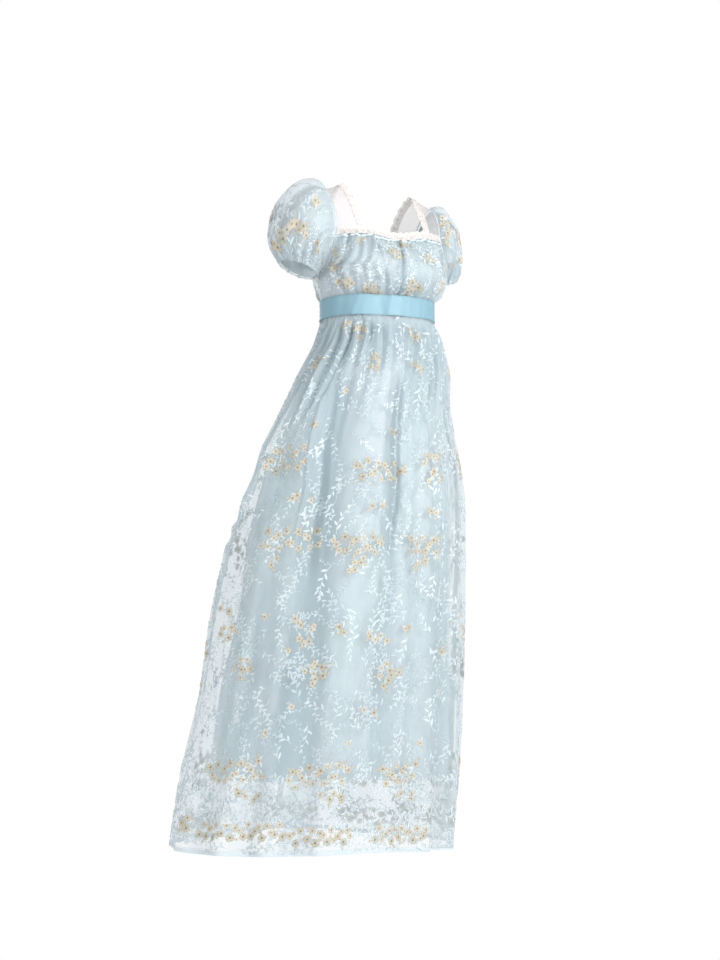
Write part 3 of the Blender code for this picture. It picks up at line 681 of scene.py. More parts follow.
def slanted_rows(table, wanted, start_of, end_of, share):
    """Rows that need not be level, read between fine level ones: wanted holds the
    drop of each row and column."""
    drops = np.linspace(wanted.min(), wanted.max(), SLANT_STEPS)
    level = level_rows(table, drops, start_of(drops), end_of(drops), share)
    points = np.empty((*wanted.shape, 3))
    for column in range(wanted.shape[1]):
        for axis in range(2):
            points[:, column, axis] = np.interp(wanted[:, column], drops, level[:, column, axis])
    points[:, :, 2] = -wanted
    return points


def reach_at(drop, x, side):
    """How far the bodice reaches forward or back at one drop, at each distance x from the centre line: on an
    oval, its depth times (1 - (x / half width) to the power) to 1 / power."""
    sizes = {name: value[0] for name, value in section(TORSO, np.array([drop])).items()}
    half = (sizes["left"] + sizes["right"]) / 2
    return sizes[side] * (1 - np.abs(x / half) ** sizes["power"]) ** (1 / sizes["power"])


ARMHOLE_FRONT = reach_at(NECK_FRONT, ARMHOLE_X, "front")
ARMHOLE_BACK = reach_at(NECK_BACK, ARMHOLE_X, "back")


def armhole_angle(table, drop, side):
    """The angle from the side to the armhole's edge, whose outline is a quarter ellipse."""
    sizes = section(table, drop)
    neck, reach = (NECK_FRONT, ARMHOLE_FRONT) if side == "front" else (NECK_BACK, ARMHOLE_BACK)
    share = np.clip((drop - neck) / (ARMHOLE_BOTTOM - neck), 0.0, 1.0)
    depth = reach * np.sqrt(1 - share**2)
    return np.arcsin(np.clip(depth / sizes[side], 0, 1) ** (sizes["power"] / 2))


def outward(points, closed=False):
    """Unit normals of a grid whose rows go down and whose columns go round from the left side to the front:
    the cross product of the steps round and down."""
    if closed:
        around = np.roll(points, -1, axis=1) - np.roll(points, 1, axis=1)
    else:
        around = np.gradient(points, axis=1)
    normal = np.cross(around, np.gradient(points, axis=0))
    return normal / np.maximum(np.linalg.norm(normal, axis=2, keepdims=True), 1e-9)


def pushed_out(base, depth, closed=False):
    """Points moved out from a base along its normals, each by its own depth."""
    return base + outward(base, closed) * np.asarray(depth)[..., None]


def posed(points):
    """Raises the right shoulder and draws the hem up on the right, as the frame has them:
    eased shares of x and of the drop."""
    moved = points.copy()
    x, z = points[..., 0], points[..., 2]
    moved[..., 2] -= SHOULDER_TILT * x * ease(z, *SHOULDER_TILT_HEIGHTS)
    moved[..., 2] += HEM_LIFT * ease(-z, PULL_DROP, HEM) * ease(-x, *HEM_LIFT_ENDS)
    return moved


def on_side(points, hand):
    """The left side as it is, or turned over for the right with its columns the other way round."""
    if hand == "left":
        return points
    return points[:, ::-1] * np.array([-1.0, 1.0, 1.0])


def make_cloth(points, closed=False, base=None, gathered_and_shaded=0.0):
    """A grid of points in its final place, with normals, row lengths, and each point's place in the flat
    cloth. Its density value is 0 to 1: how steeply the cloth leaves its base in a fold, plus a given value for
    gathers and the hollows of folds. The materials read it as denser sheer cloth and as painted shade in folds
    and gathers."""
    normal = outward(points, closed)
    steep = 0.0 if base is None else 1 - np.clip((normal * outward(base, closed)).sum(axis=2), 0, 1) ** 2
    whole = np.concatenate([points, points[:, :1]], axis=1) if closed else points
    along = np.zeros(whole.shape[:2])
    along[:, 1:] = np.cumsum(np.linalg.norm(np.diff(whole, axis=1), axis=2), axis=1)
    down = np.zeros(whole.shape[:2])
    down[1:] = np.cumsum(np.linalg.norm(np.diff(whole, axis=0), axis=2), axis=0)
    across = along - along[:, -1:] / 2
    flat = np.stack([across, np.repeat(-down.mean(axis=1)[:, None], whole.shape[1], 1)], axis=-1)
    return {
        "points": points,
        "normal": normal,
        "density_and_shade": np.broadcast_to(np.clip(steep + gathered_and_shaded, 0, 1), points.shape[:2]),
        "closed": closed,
        "girth": along[:, -1],
        "length": float(down[-1].mean()),
        "flat": flat * METRES,
    }


def girth_at(cloth, v):
    """The length of a cloth's row at a share v of the way down."""
    return np.interp(v, np.linspace(0, 1, len(cloth["girth"])), cloth["girth"])


def on_cloth(cloth, u, v, lift=0.0):
    """Points on a cloth at shares u along its rows and v down them: weighted means of the four nearest
    points, moved out along the normal by lift."""
    points, normal = cloth["points"], cloth["normal"]
    rows, columns = points.shape[:2]
    if cloth["closed"]:
        x = np.mod(u, 1.0) * columns
        left = np.minimum(np.floor(x).astype(int), columns - 1)
    else:
        x = np.clip(u, 0.0, 1.0) * (columns - 1)
        left = np.minimum(np.floor(x).astype(int), columns - 2)
    right = (left + 1) % columns
    across = (x - left)[..., None]
    y = np.clip(v, 0.0, 1.0) * (rows - 1)
    top = np.minimum(np.floor(y).astype(int), rows - 2)
    down = (y - top)[..., None]

    def between(grid):
        """The weighted mean of a grid's four nearest points."""
        upper = grid[top, left] * (1 - across) + grid[top, right] * across
        lower = grid[top + 1, left] * (1 - across) + grid[top + 1, right] * across
        return upper * (1 - down) + lower * down

    return between(points) + between(normal) * np.asarray(lift)[..., None]


def grid_faces(rows, columns, closed):
    """Four corners of each square of a grid, and where each corner lies in the grid
    with its closing column."""
    wide = columns + 1 if closed else columns
    row, column = np.meshgrid(np.arange(rows - 1), np.arange(wide - 1), indexing="ij")
    row, column = row.ravel(), column.ravel()
    down = np.stack([row, row, row + 1, row + 1], axis=1)
    along = np.stack([column, column + 1, column + 1, column], axis=1)
    return down * columns + along % columns, down * wide + along


def add_mesh(name, points, faces, flat, materials, tone, face_material=None):
    """A new object at the origin from points in millimetres. flat holds a UV for each corner of each face,
    and tone a value for each point, which the materials read: a motif's own tone, or a cloth's density
    value, which they read as denser sheer cloth and paint as shade."""
    mesh = bpy.data.meshes.new(name)
    mesh.from_pydata((points * METRES).tolist(), [], faces.tolist())
    layer = mesh.uv_layers.new(name="cloth")
    layer.data.foreach_set("uv", flat.astype(np.float32).ravel())
    if face_material is not None:
        mesh.polygons.foreach_set("material_index", face_material.astype(np.int32))
    attribute = mesh.attributes.new("tone", "FLOAT", "POINT")
    attribute.data.foreach_set("value", tone.astype(np.float32))
    mesh.shade_smooth()
    for material in materials:
        mesh.materials.append(material)
    mesh.validate()
    mesh.update()
    piece = bpy.data.objects.new(name, mesh)
    bpy.context.scene.collection.objects.link(piece)
    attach(piece, "root")
    return piece


def cloth_piece(name, cloth, material, reach=None):
    """A single thin sheet of cloth, or the stretch of a tube of it between two turns."""
    points, flat, density_and_shade, closed = cloth["points"], cloth["flat"], cloth["density_and_shade"], cloth["closed"]
    if reach is not None:
        count = points.shape[1]
        first, last = (round(turn * count) for turn in reach)
        columns = np.arange(first, last + 1)
        points, density_and_shade, closed = points[:, columns % count], density_and_shade[:, columns % count], False
        flat = flat[:, columns]
    faces, corners = grid_faces(*points.shape[:2], closed)
    uv = flat.reshape(-1, 2)[corners.ravel()]
    return add_mesh(name, points.reshape(-1, 3), faces, uv, [material], density_and_shade.ravel())


# Folds, gathers and creases


def laid_creases(turn, drop, girth, table, repeats):
    """The sum of the listed creases: a bell curve across each, fading out towards both of its ends."""
    depth = np.zeros(np.broadcast(turn, drop).shape)
    for shift in repeats:
        for crease in named_rows(CREASE_COLUMNS, table):
            share = (drop - crease["drop_a"]) / (crease["drop_b"] - crease["drop_a"])
            place = crease["turn_a"] + (crease["turn_b"] - crease["turn_a"]) * np.clip(share, 0, 1) + shift
            fade = ease(share, *CREASE_FADE_IN) * (1 - ease(share, *CREASE_FADE_OUT))
            depth += crease["height"] * fade * ridge(round_distance(turn, place) * girth, crease["width"])
    return depth


def small_gathers(turn, below, girth, count, seed, height, longest):
    """Fine uneven gathers below a seam: bell curves, each with its own place, width, height, length and lean,
    which widen and fade on their way down."""
    draw = np.random.default_rng(seed)
    depth = np.zeros(np.broadcast(turn, below).shape)
    for number in range(count):
        place = (number + draw.uniform(-0.3, 0.3)) / count
        width = draw.uniform(*SMALL_GATHER_WIDTHS)
        tall = height * draw.uniform(0.4, 1.0)
        length = longest * draw.uniform(0.2, 1.0) ** 1.5
        lean = draw.uniform(-SMALL_GATHER_LEAN, SMALL_GATHER_LEAN)
        fade = 1 - ease(below, 0.15 * length, length)
        line = place + lean * np.clip(below / length, 0, 1)
        away = round_distance(turn, line) * girth
        depth += tall * fade * ridge(away, width + below * SMALL_GATHER_SPREAD)
    return depth


def overskirt_form(turn, drop):
    """The overskirt's form as the frame has it: a cosine for the gathers and one for the
    folds, both a little uneven round the girth, with troughs and ridges as bell curves. The
    ridges run to where the skirt is drawn out."""
    below = drop - RIBBON_BOTTOM
    length = SKIRT_GATHER_LENGTH * (1 + swing(turn, *GATHER_LENGTH_SWING))
    gather = SKIRT_GATHER_DEPTH * ramp(below, 0, 35, 0.2, 1.0) * (1 - ease(below, FOLDS_BEGIN, length + 60))
    depth = gather * np.cos(TAU * SKIRT_GATHERS * (turn + swing(turn, *GATHER_PLACE_SWING)))
    strength = SKIRT_FOLD_DEPTH * (1 + swing(turn, *FOLD_DEPTH_SWING))
    strength = strength * ease(below, FOLDS_BEGIN, FOLDS_GROWN)
    strength = strength * ramp(below, FOLDS_GROWN, FOLDS_FULL, 0.6, 1.0)
    drift = 0.5 * np.sin(below / 310 + 2 * TAU * turn)
    depth = depth + strength * np.cos(TAU * SKIRT_FOLDS * turn + drift)
    for fold in named_rows(FOLD_COLUMNS, BROAD_FOLDS):
        share = np.clip((drop - fold["first"]) / (fold["last"] - fold["first"]), 0, 1)
        place = fold["turn_top"] + (fold["turn_hem"] - fold["turn_top"]) * share
        depth -= fold["depth"] * ease(share, 0, 0.25) * ridge(turn - place, fold["width"])
    share = np.clip(below / (PULL_DROP - RIBBON_BOTTOM), 0, 1)
    fade = ease(share, 0.03, 0.25) * (1 - ease(drop, *PULL_RIDGE_ENDS))
    for start, height in PULL_RIDGES:
        place = start + (PULL_TURN - start) * share
        depth += height * fade * ridge(turn - place, PULL_RIDGE_WIDTH)
    return depth


def pinch(turn, drop, girth):
    """Short creases that spread like rays from where the skirt is drawn out: a cosine of the angle round that
    place, under a bell curve of the distance from it."""
    across = round_distance(turn, PULL_TURN) * girth
    down = drop - PINCH_DROP
    away = np.hypot(across, down)
    rays = np.cos(PINCH_RAYS * np.arctan2(across, down) + 0.8)
    return PINCH_HEIGHT * rays * ease(away, 4, 26) * ridge(away, PINCH_REACH)


def overskirt_depth(turn, drop, girth):
    """How far the overskirt stands out: the frame's form, small gathers, laid creases, the pinch and a fine
    ripple, which is a sine round the girth that drifts on its way down."""
    below = drop - RIBBON_BOTTOM
    fine = small_gathers(turn, np.maximum(below, 0), girth, count=70, seed=3, height=2.6, longest=210)
    creases = laid_creases(turn, drop, girth, SKIRT_CREASES, REPEATS) * ease(below, -2, 40)
    ripple = RIPPLE_HEIGHT * np.sin(TAU * RIPPLES * turn + 1.3 * np.sin(below / 90)) * ease(below, 300, 800)
    depth = overskirt_form(turn, drop) + fine * ramp(below, -2, 22, 0.12, 1.0)
    return depth + creases + pinch(turn, drop, girth) + ripple


def lining_depth(turn, drop, girth):
    """How far the lining stands out: the frame's cosine round the girth that drifts on its way down, small
    gathers, most of the overskirt's creases and its own."""
    below = drop - RIBBON_BOTTOM
    strength = LINING_FOLD_DEPTH * (1 + swing(turn, *LINING_DEPTH_SWING)) * ease(below, 30, 500)
    form = strength * np.cos(TAU * LINING_FOLDS * turn + 0.4 * np.sin(below / 280))
    fine = small_gathers(turn, np.maximum(below, 0), girth, count=64, seed=5, height=2.2, longest=210)
    shared = laid_creases(turn, drop, girth, SKIRT_CREASES, REPEATS) * ease(below, -2, 40)
    own = laid_creases(turn, drop, girth, LINING_CREASES, REPEATS)
    return form + fine * ease(below, -2, 22) + LINING_SHARE * shared + own - LINING_INSET


def tube_rows(table, drops, columns):
    """A whole tube of level ovals from the centre back, with columns even round the girth in its
    front half and each back quarter."""
    quarter = columns // 4
    level = np.ones_like(drops) * math.pi
    parts = []
    for start, end, count in ((1.5, 2.0, quarter), (0.0, 1.0, 2 * quarter), (1.0, 1.5, quarter)):
        parts.append(level_rows(table, drops, start * level, end * level, np.arange(count) / count))
    return np.concatenate(parts, axis=1)


def folded_tube(table, hem, grid, depth_at):
    """A tube of cloth from the waist to its hem: its section, moved out by the depth of its folds. Its
    density value is high just below the ribbon, where it is drawn in, and in the hollows of its folds: there
    sheer cloth is made denser and the materials paint shade."""
    columns, rows = grid
    drops = np.linspace(WAIST, hem, rows)
    base = tube_rows(table, drops, columns)
    girth = np.linalg.norm(np.roll(base, -1, axis=1) - base, axis=2).sum(axis=1)[:, None]
    turn = (np.arange(columns) / columns)[None, :]
    depth = depth_at(turn, drops[:, None], girth)
    # Denser sheer cloth and painted shade below the ribbon and in the hollows of the folds
    gathered_and_shaded = ramp(drops[:, None], RIBBON_BOTTOM, RIBBON_BOTTOM + 140, 0.45, 0.0)
    hollow = depth.mean(axis=1, keepdims=True) - depth
    gathered_and_shaded = gathered_and_shaded + 0.8 * np.clip(hollow / HOLLOW_DEPTH, -0.2, 1)
    return make_cloth(posed(pushed_out(base, depth, True)), True, posed(base), gathered_and_shaded)


def kept_inside(inner, outer, gap):
    """Draws each point of an inner tube in towards the middle, where it would come nearer than a gap to an
    outer tube. Both are compared by their distance from a middle line at each height."""
    points = inner["points"].copy()
    heights = outer["points"][:, :, 2].mean(axis=1)
    middle = outer["points"][:, :, :2].mean(axis=1)
    steps = np.linspace(-math.pi, math.pi, FINE_STEPS)
    reach = np.empty((len(heights), len(steps)))
    for row, (line, centre) in enumerate(zip(outer["points"][:, :, :2], middle)):
        away = line - centre
        angle = np.arctan2(away[:, 1], away[:, 0])
        order = np.argsort(angle)
        reach[row] = np.interp(steps, angle[order], np.hypot(*away.T)[order], period=TAU)
    for row in range(len(points)):
        place = np.interp(-points[row, :, 2].mean(), -heights, np.arange(len(heights)))
        low = min(int(place), len(heights) - 2)
        share = place - low
        centre = middle[low] * (1 - share) + middle[low + 1] * share
        limit = reach[low] * (1 - share) + reach[low + 1] * share
        away = points[row, :, :2] - centre
        size = np.hypot(*away.T)
        most = np.interp(np.arctan2(away[:, 1], away[:, 0]), steps, limit) - gap
        points[row, :, :2] = centre + away * np.minimum(1, most / size)[:, None]
    return {**make_cloth(points, True), "density_and_shade": inner["density_and_shade"]}


# The bodice, the shoulder nets and the sleeves


def bodice_edges(table, start, end):
    """Two functions of the drop: the angles where a panel of the bodice starts and ends."""
    side = "front" if end == math.pi else "back"
    centre = 1.5 * math.pi

    def first(drop):
        """The start, at the armhole's edge or the centre back."""
        return start + (start != centre) * armhole_angle(table, drop, side)

    def last(drop):
        """The end, at the armhole's edge or the centre back."""
        return end - (end != centre) * armhole_angle(table, drop, side)

    return first, last


def neck_drop(side, across):
    """The drop of the bodice's top edge. The front dips at its middle by a quarter of
    a cosine to each side."""
    if side != "front":
        return np.full_like(across, NECK_BACK)
    middle = np.clip(np.abs(across - 0.5) / NECK_DIP_REACH, 0, 1)
    return NECK_FRONT + NECK_DIP * np.cos(middle * math.pi / 2) ** 2


def bodice_creases(across, share, width):
    """The listed creases of the bodice front: bell curves across lines that
    pass through three places."""
    depth = np.zeros(share.shape)
    for crease in named_rows(BODICE_CREASE_COLUMNS, BODICE_CREASES):
        place = (
            crease["neck"] * (1 - share) * (1 - 2 * share)
            + 4 * crease["middle"] * share * (1 - share)
            + crease["waist"] * share * (2 * share - 1)
        )
        depth = depth + crease["height"] * ridge((across - place) * width, crease["width"])
    return depth


def bodice_cloth(table, panel, fullness):
    """One panel of the bodice from its neckline to the waist, moved out by even gathers, a cosine across it,
    by small gathers at both seams and by the front's creases. fullness is how deep these are."""
    side = panel["side"]
    width = panel["width"]
    columns, rows = BODICE_GRID
    across = np.linspace(0, 1, columns if side == "front" else columns // 2)
    top = neck_drop(side, across)[None, :]
    wanted = top + (WAIST - top) * np.linspace(0, 1, rows)[:, None]
    base = slanted_rows(table, wanted, *bodice_edges(table, panel["start"], panel["end"]), across)
    share = (wanted - top) / (RIBBON_TOP - top)
    across = across[None, :]
    swell = 0.3 + 0.5 * ease(share, 0, 0.15) + 0.7 * ease(share, 0.5, 0.85)
    swell = swell * ramp(share, 0.93, 1.0, 1.0, 0.15)
    even = BODICE_GATHER_DEPTH * swell * np.cos(TAU * panel["gathers"] * across)
    caught = ease(share, 0.0, 0.06)
    from_neck = np.maximum(wanted - top, 0)
    count = int(width / NECK_GATHER_PITCH)
    neck = small_gathers(across, from_neck, width, count, panel["seed"], height=1.5, longest=70)
    from_waist = np.maximum(RIBBON_TOP - wanted, 0)
    count = int(width / WAIST_GATHER_PITCH)
    waist = small_gathers(across, from_waist, width, count, panel["seed"] + 10, height=1.9, longest=80)
    depth = even + neck * (0.35 + 0.65 * caught) + waist
    if side == "front":
        depth = depth + bodice_creases(across, share, width) * caught
    edge = ease(np.minimum(across, 1 - across), 0.0, 0.1)
    hidden = 1 - ease(share, 0.965, 1.0)
    depth = depth * edge * hidden * fullness
    # Denser sheer cloth and painted shade near the neckline and the waist
    gathered_and_shaded = 0.12 - 0.12 * ease(share, 0, 0.3) + 0.15 * ease(share, 0.7, 1.0)
    return make_cloth(posed(pushed_out(base, depth)), False, posed(base), gathered_and_shaded)


def yoke_point(around, across):
    """The left shoulder net: around runs 0 to 1 over the shoulder from the front, and across 0 to 1 from the
    neckline to the armhole. Each line is two quarter ellipses that meet at the top."""
    angle = math.pi * around
    front = around < 0.5
    slope = np.where(front, SLOPE_NECK + (SLOPE_ARMHOLE - SLOPE_NECK) * across, SLOPE_BACK)
    up = np.sin(angle) ** slope
    back = -np.sign(np.cos(angle)) * np.abs(np.cos(angle)) ** slope
    low_inner = np.where(front, NECK_HALF_FRONT, NECK_HALF_BACK)
    low_x = low_inner + (ARMHOLE_X - low_inner) * across
    top_x = NECK_HALF_TOP + (SHOULDER_POINT_X - NECK_HALF_TOP) * across
    low_drop = np.where(front, NECK_FRONT, NECK_BACK)
    top = SHOULDER_INNER_RISE - (SHOULDER_INNER_RISE + SHOULDER_OUTER_DROP) * across
    reach = np.where(front, reach_at(NECK_FRONT, low_x, "front"), reach_at(NECK_BACK, low_x, "back"))
    x = low_x + (top_x - low_x) * up
    y = reach * back
    z = -low_drop + (top + low_drop) * up
    return np.stack(np.broadcast_arrays(x, y, z), axis=-1)


def armhole_ring(turn, shrink):
    """The left armhole, in four quarter ellipses: turn 0 is the top and a quarter the front."""
    angle = TAU * turn
    forward, up = np.sin(angle), np.cos(angle)
    front = forward >= 0
    slope = np.where(up > 0, np.where(front, SLOPE_ARMHOLE, SLOPE_BACK), 1.0)
    forward = np.sign(forward) * np.abs(forward) ** slope
    up = np.sign(up) * np.abs(up) ** slope
    reach = np.where(front, ARMHOLE_FRONT, ARMHOLE_BACK)
    neck = np.where(front, NECK_FRONT, NECK_BACK)
    high = neck - SHOULDER_OUTER_DROP
    low = ARMHOLE_BOTTOM - neck
    drop = neck - np.where(up > 0, (high - shrink) * up, (low - shrink) * up)
    y = -(reach - shrink) * forward
    sizes = section(TORSO, drop)
    half = (sizes["left"] + sizes["right"]) / 2
    middle = (sizes["left"] - sizes["right"]) / 2
    depth = np.where(front, sizes["front"], sizes["back"])
    body_x = middle + half * (1 - np.abs(y / depth) ** sizes["power"]) ** (1 / sizes["power"])
    net_x = ARMHOLE_X + (SHOULDER_POINT_X - ARMHOLE_X) * up
    return np.stack([np.where(up > 0, net_x, body_x), y, -drop], axis=-1)


def puff_size(hand, column, turn):
    """One size of the puff at each turn, from its outer, front, inner and back values: between two of them
    it changes by the square of a sine."""
    values = np.array([row[column] for row in named_rows(PUFF_COLUMNS, PUFFS[hand])], float)
    place = (turn * 4) % 4
    index = np.floor(place).astype(int)
    share = np.sin((place - index) * math.pi / 2) ** 2
    return values[index % 4] * (1 - share) + values[(index + 1) % 4] * share


def sleeve_rows(hand, turn, share, shrink, puff):
    """Cubic curves from the armhole ring to the hem ring: the first handle lifts the cloth off the armhole,
    and the second brings it back in above the hem."""
    ring = HEM_RING[hand]
    tilt = math.radians(ring["tilt"])
    start = armhole_ring(turn, shrink)
    start[:, 0] += ARMHOLE_GAP + shrink / 2
    angle = TAU * turn
    across = (ring["across"] - shrink) * np.cos(angle)
    end_x = ring["x"] + across * math.cos(tilt)
    end_y = ring["y"] - (ring["deep"] - shrink) * np.sin(angle)
    end = np.stack([end_x, end_y, across * math.sin(tilt) - ring["drop"]], axis=-1)
    lift, out, spread, rise = (puff * puff_size(hand, name, turn)[:, None] for name in PUFF_COLUMNS[1:])
    radial = np.stack([np.zeros_like(turn), -np.sin(angle), np.cos(angle)], axis=-1)
    flat = np.stack([np.cos(angle) * math.cos(tilt), -np.sin(angle), np.cos(angle) * math.sin(tilt)], axis=-1)
    first = start + lift * radial + out * np.array([1.0, 0.0, 0.0])
    second = end + spread * flat + rise * np.array([0.0, 0.0, 1.0])
    t = share[:, None, None]
    return (1 - t) ** 3 * start + 3 * t * (1 - t) ** 2 * first + 3 * t**2 * (1 - t) * second + t**3 * end


def sleeve_cloth(hand):
    """A tulle puff sleeve: even gathers, a cosine round it, small gathers at its head and
    hem, laid creases, and a bell-curved channel where elastic draws it in above a small
    frill. It lies quiet on its inner side."""
    columns, rows = SLEEVE_GRID
    turn = np.arange(columns) / columns
    share = np.linspace(0, 1, rows)
    base = sleeve_rows(hand, turn, share, 0.0, 1.0)
    turn, share = turn[None, :], share[:, None]
    down = 100 * share
    swell = 0.25 + 0.75 * np.cos(math.pi * share) ** 2
    swell = swell * ease(share, -0.12, 0.15) * ease(1 - share, -0.12, 0.15)
    even = SLEEVE_GATHER_DEPTH * swell * np.cos(TAU * SLEEVE_GATHERS * turn)
    seed = SLEEVE_SEEDS[hand]
    head = small_gathers(turn, down, SLEEVE_GIRTH, count=46, seed=seed, height=2.2, longest=62)
    hem = small_gathers(turn, 100 - down, SLEEVE_GIRTH, count=52, seed=seed + 1, height=2.0, longest=55)
    creases = laid_creases(turn, down, SLEEVE_GIRTH, SLEEVE_CREASES, SLEEVE_CREASE_REPEATS)
    near = ease(share, 0.0, 0.05) * ramp(1 - share, 0.0, 0.08, 0.35, 1.0)
    elastic = FRILL_LIFT * ease(share, 0.95, 1.0)
    elastic = elastic - ELASTIC_DEPTH * ridge(share - ELASTIC_SHARE, ELASTIC_WIDTH)
    quiet = 1 - 0.85 * ridge(turn - 0.5, 0.16)
    depth = (even + (head + hem + creases) * near + elastic) * quiet
    # Denser sheer cloth and painted shade at the sleeve's head and towards its hem
    gathered_and_shaded = 0.4 - 0.4 * ease(share, 0, 0.3) + 0.35 * ease(share, 0.6, 0.92)
    gathered_and_shaded = gathered_and_shaded + 0.25 * ease(share, 0.93, 0.96)
    shape = on_side(pushed_out(base, depth, True), hand)
    return make_cloth(posed(shape), True, posed(on_side(base, hand)), gathered_and_shaded)


def sleeve_lining_cloth(hand):
    """The sleeve's lining: the same curves with a smaller puff, and a shallow cosine
    of gathers at both ends."""
    columns, rows = SLEEVE_LINING_GRID
    turn = np.arange(columns) / columns
    share = np.linspace(0, SLEEVE_LINING_END, rows)
    base = sleeve_rows(hand, turn, share, SLEEVE_LINING_INSET[hand], SLEEVE_LINING_PUFF)
    ripple = 0.5 * np.cos(TAU * SLEEVE_LINING_GATHERS * turn[None, :]) * np.cos(math.pi * share[:, None]) ** 2
    return make_cloth(posed(on_side(pushed_out(base, ripple - 0.8, True), hand)), True)


def shoulder_net_cloth(hand):
    """The whole shoulder net, from the front neckline over the shoulder to the back one."""
    columns, rows = SHOULDER_NET_GRID
    around = np.linspace(0.004, 0.996, rows)[:, None]
    across = np.linspace(0, 1, columns)[None, :]
    return make_cloth(posed(on_side(yoke_point(around, across), hand)))


def piping_cloth(hand):
    """A thin tube round the armhole: a circle carried along its ring."""
    columns, rows = PIPING_GRID
    turn = np.linspace(0, 1, columns, endpoint=False)
    out = np.stack([np.zeros_like(turn), -np.sin(TAU * turn), np.cos(TAU * turn)], axis=-1)
    angle = np.linspace(0, TAU, rows)[:, None, None]
    circle = np.cos(angle) * out + np.sin(angle) * np.array([1.0, 0.0, 0.0])
    tube = armhole_ring(turn, 0.0) + PIPING_RADIUS * circle
    tube[..., 0] += PIPING_OUT
    return make_cloth(posed(on_side(tube, hand)), True)


def ribbon_cloth():
    """The ribbon: the waist's oval as a level band, moved out by a slight wave and by
    bell curves that slant."""
    columns, rows = RIBBON_GRID
    flat_waist = tuple((drop, *TORSO[-1][1:]) for drop in (RIBBON_TOP - 1, RIBBON_BOTTOM + 1))
    base = tube_rows(flat_waist, np.linspace(RIBBON_TOP, RIBBON_BOTTOM, rows), columns)
    turn = (np.arange(columns) / columns)[None, :]
    share = np.linspace(0, 1, rows)[:, None]
    depth = RIBBON_LIFT + swing(turn, 0.15, 9, 0.0) * np.cos(math.pi * share)
    for crease in named_rows(RIBBON_CREASE_COLUMNS, RIBBON_CREASES):
        place = crease["upper"] + (crease["lower"] - crease["upper"]) * share
        depth = depth + crease["height"] * ridge(round_distance(turn, place), crease["width"])
    return make_cloth(posed(pushed_out(base, depth, True)), True)


def scallop(share, count):
    """A scalloped edge: 1 between scallops and 0 at the middle of each, which is 1
    less the size of a sine."""
    return 1 - np.abs(np.sin(math.pi * count * share))


def shoulder_lace_base(hand):
    """The band of lace along the inner edge of a shoulder net: its free edge is scalloped."""
    share = np.linspace(0, 1, SHOULDER_SCALLOPS * SCALLOP_STEPS + 1)[:, None]
    first, last = SHOULDER_LACE_ENDS
    around = first + (last - first) * share
    net_width = ARMHOLE_X - NECK_HALF_FRONT
    free = (SCALLOP_DEPTH * scallop(share, SHOULDER_SCALLOPS) - LACE_ABOVE_EDGE) / net_width
    held = (LACE_WIDTH - LACE_ABOVE_EDGE) / net_width
    across = free + (held - free) * np.linspace(0, 1, LACE_ROWS)[None, :]
    return on_side(np.swapaxes(yoke_point(around, across), 0, 1)[:, ::-1], hand)


def neck_lace_base(side, start, end):
    """The band of lace along one side of the neckline: its free edge is scalloped,
    and it lies on the bodice."""
    share = np.linspace(0, 1, NECK_SCALLOPS * SCALLOP_STEPS + 1)
    across = NECK_LACE_END + (1 - 2 * NECK_LACE_END) * share
    free = SCALLOP_DEPTH * scallop(share, NECK_SCALLOPS)
    top = neck_drop(side, across) - LACE_ABOVE_EDGE + free
    wanted = top + (LACE_WIDTH - free) * np.linspace(0, 1, LACE_ROWS)[:, None]
    return slanted_rows(TORSO, wanted, *bodice_edges(TORSO, start, end), across)


# Stitched motifs, in millimetres on the flat cloth: x along, y across and z its height


def turned(x, y, angle):
    """x and y turned about the origin by an angle."""
    return x * np.cos(angle) - y * np.sin(angle), x * np.sin(angle) + y * np.cos(angle)


def patch(points, material):
    """A motif's patch from a grid of points, with a UV that runs 0 to 1 along and across it."""
    rows, columns = points.shape[:2]
    faces, _ = grid_faces(rows, columns, False)
    s, t = np.meshgrid(np.linspace(0, 1, rows), np.linspace(0, 1, columns), indexing="ij")
    return {
        "points": points.reshape(-1, 3),
        "faces": faces[:, ::-1],
        "uv": np.stack([s.ravel(), t.ravel()], axis=-1),
        "material": np.full(len(faces), material),
    }


def joined(parts):
    """Several patches or sewn motifs as one: points end to end, with each one's faces
    counted on from the last."""
    whole = {name: np.concatenate([part[name] for part in parts]) for name in parts[0]}
    first = np.cumsum([0] + [len(part["points"]) for part in parts])
    whole["faces"] = np.concatenate([part["faces"] + start for part, start in zip(parts, first)])
    return whole


def moved(part, angle, x=0.0, y=0.0):
    """A patch turned by an angle about the origin and then moved by x and y."""
    points = part["points"]
    across, down = turned(points[:, 0], points[:, 1], angle)
    return {**part, "points": np.stack([across + x, down + y, points[:, 2]], axis=-1)}


def leaf_patch(length, width, height, material, roundness=0.8, along=6):
    """A stitched leaf: half its width is sin(pi s) to a power, so it is pointed, and its back is rounded."""
    s = np.linspace(0, 1, along)[:, None]
    t = np.linspace(-1, 1, 3)[None, :]
    swell = np.sin(math.pi * np.clip(s, 0.02, 0.98)) ** roundness
    x = s * length + 0 * t
    y = width / 2 * swell * t
    z = height * (1 - t**2) * swell + LEAF_LIFT
    return patch(np.stack([x, y, z], axis=-1), material)


def disc_patch(radius, height, material):
    """A low dome of rings: its height falls with the square of the distance from its middle."""
    r = np.linspace(0.05, 1, 3)[:, None]
    angle = np.linspace(0, TAU, 9)[None, :]
    z = height * (1 - r**2) + DISC_LIFT + 0 * angle
    return patch(np.stack([radius * r * np.cos(angle), radius * r * np.sin(angle), z], axis=-1), material)


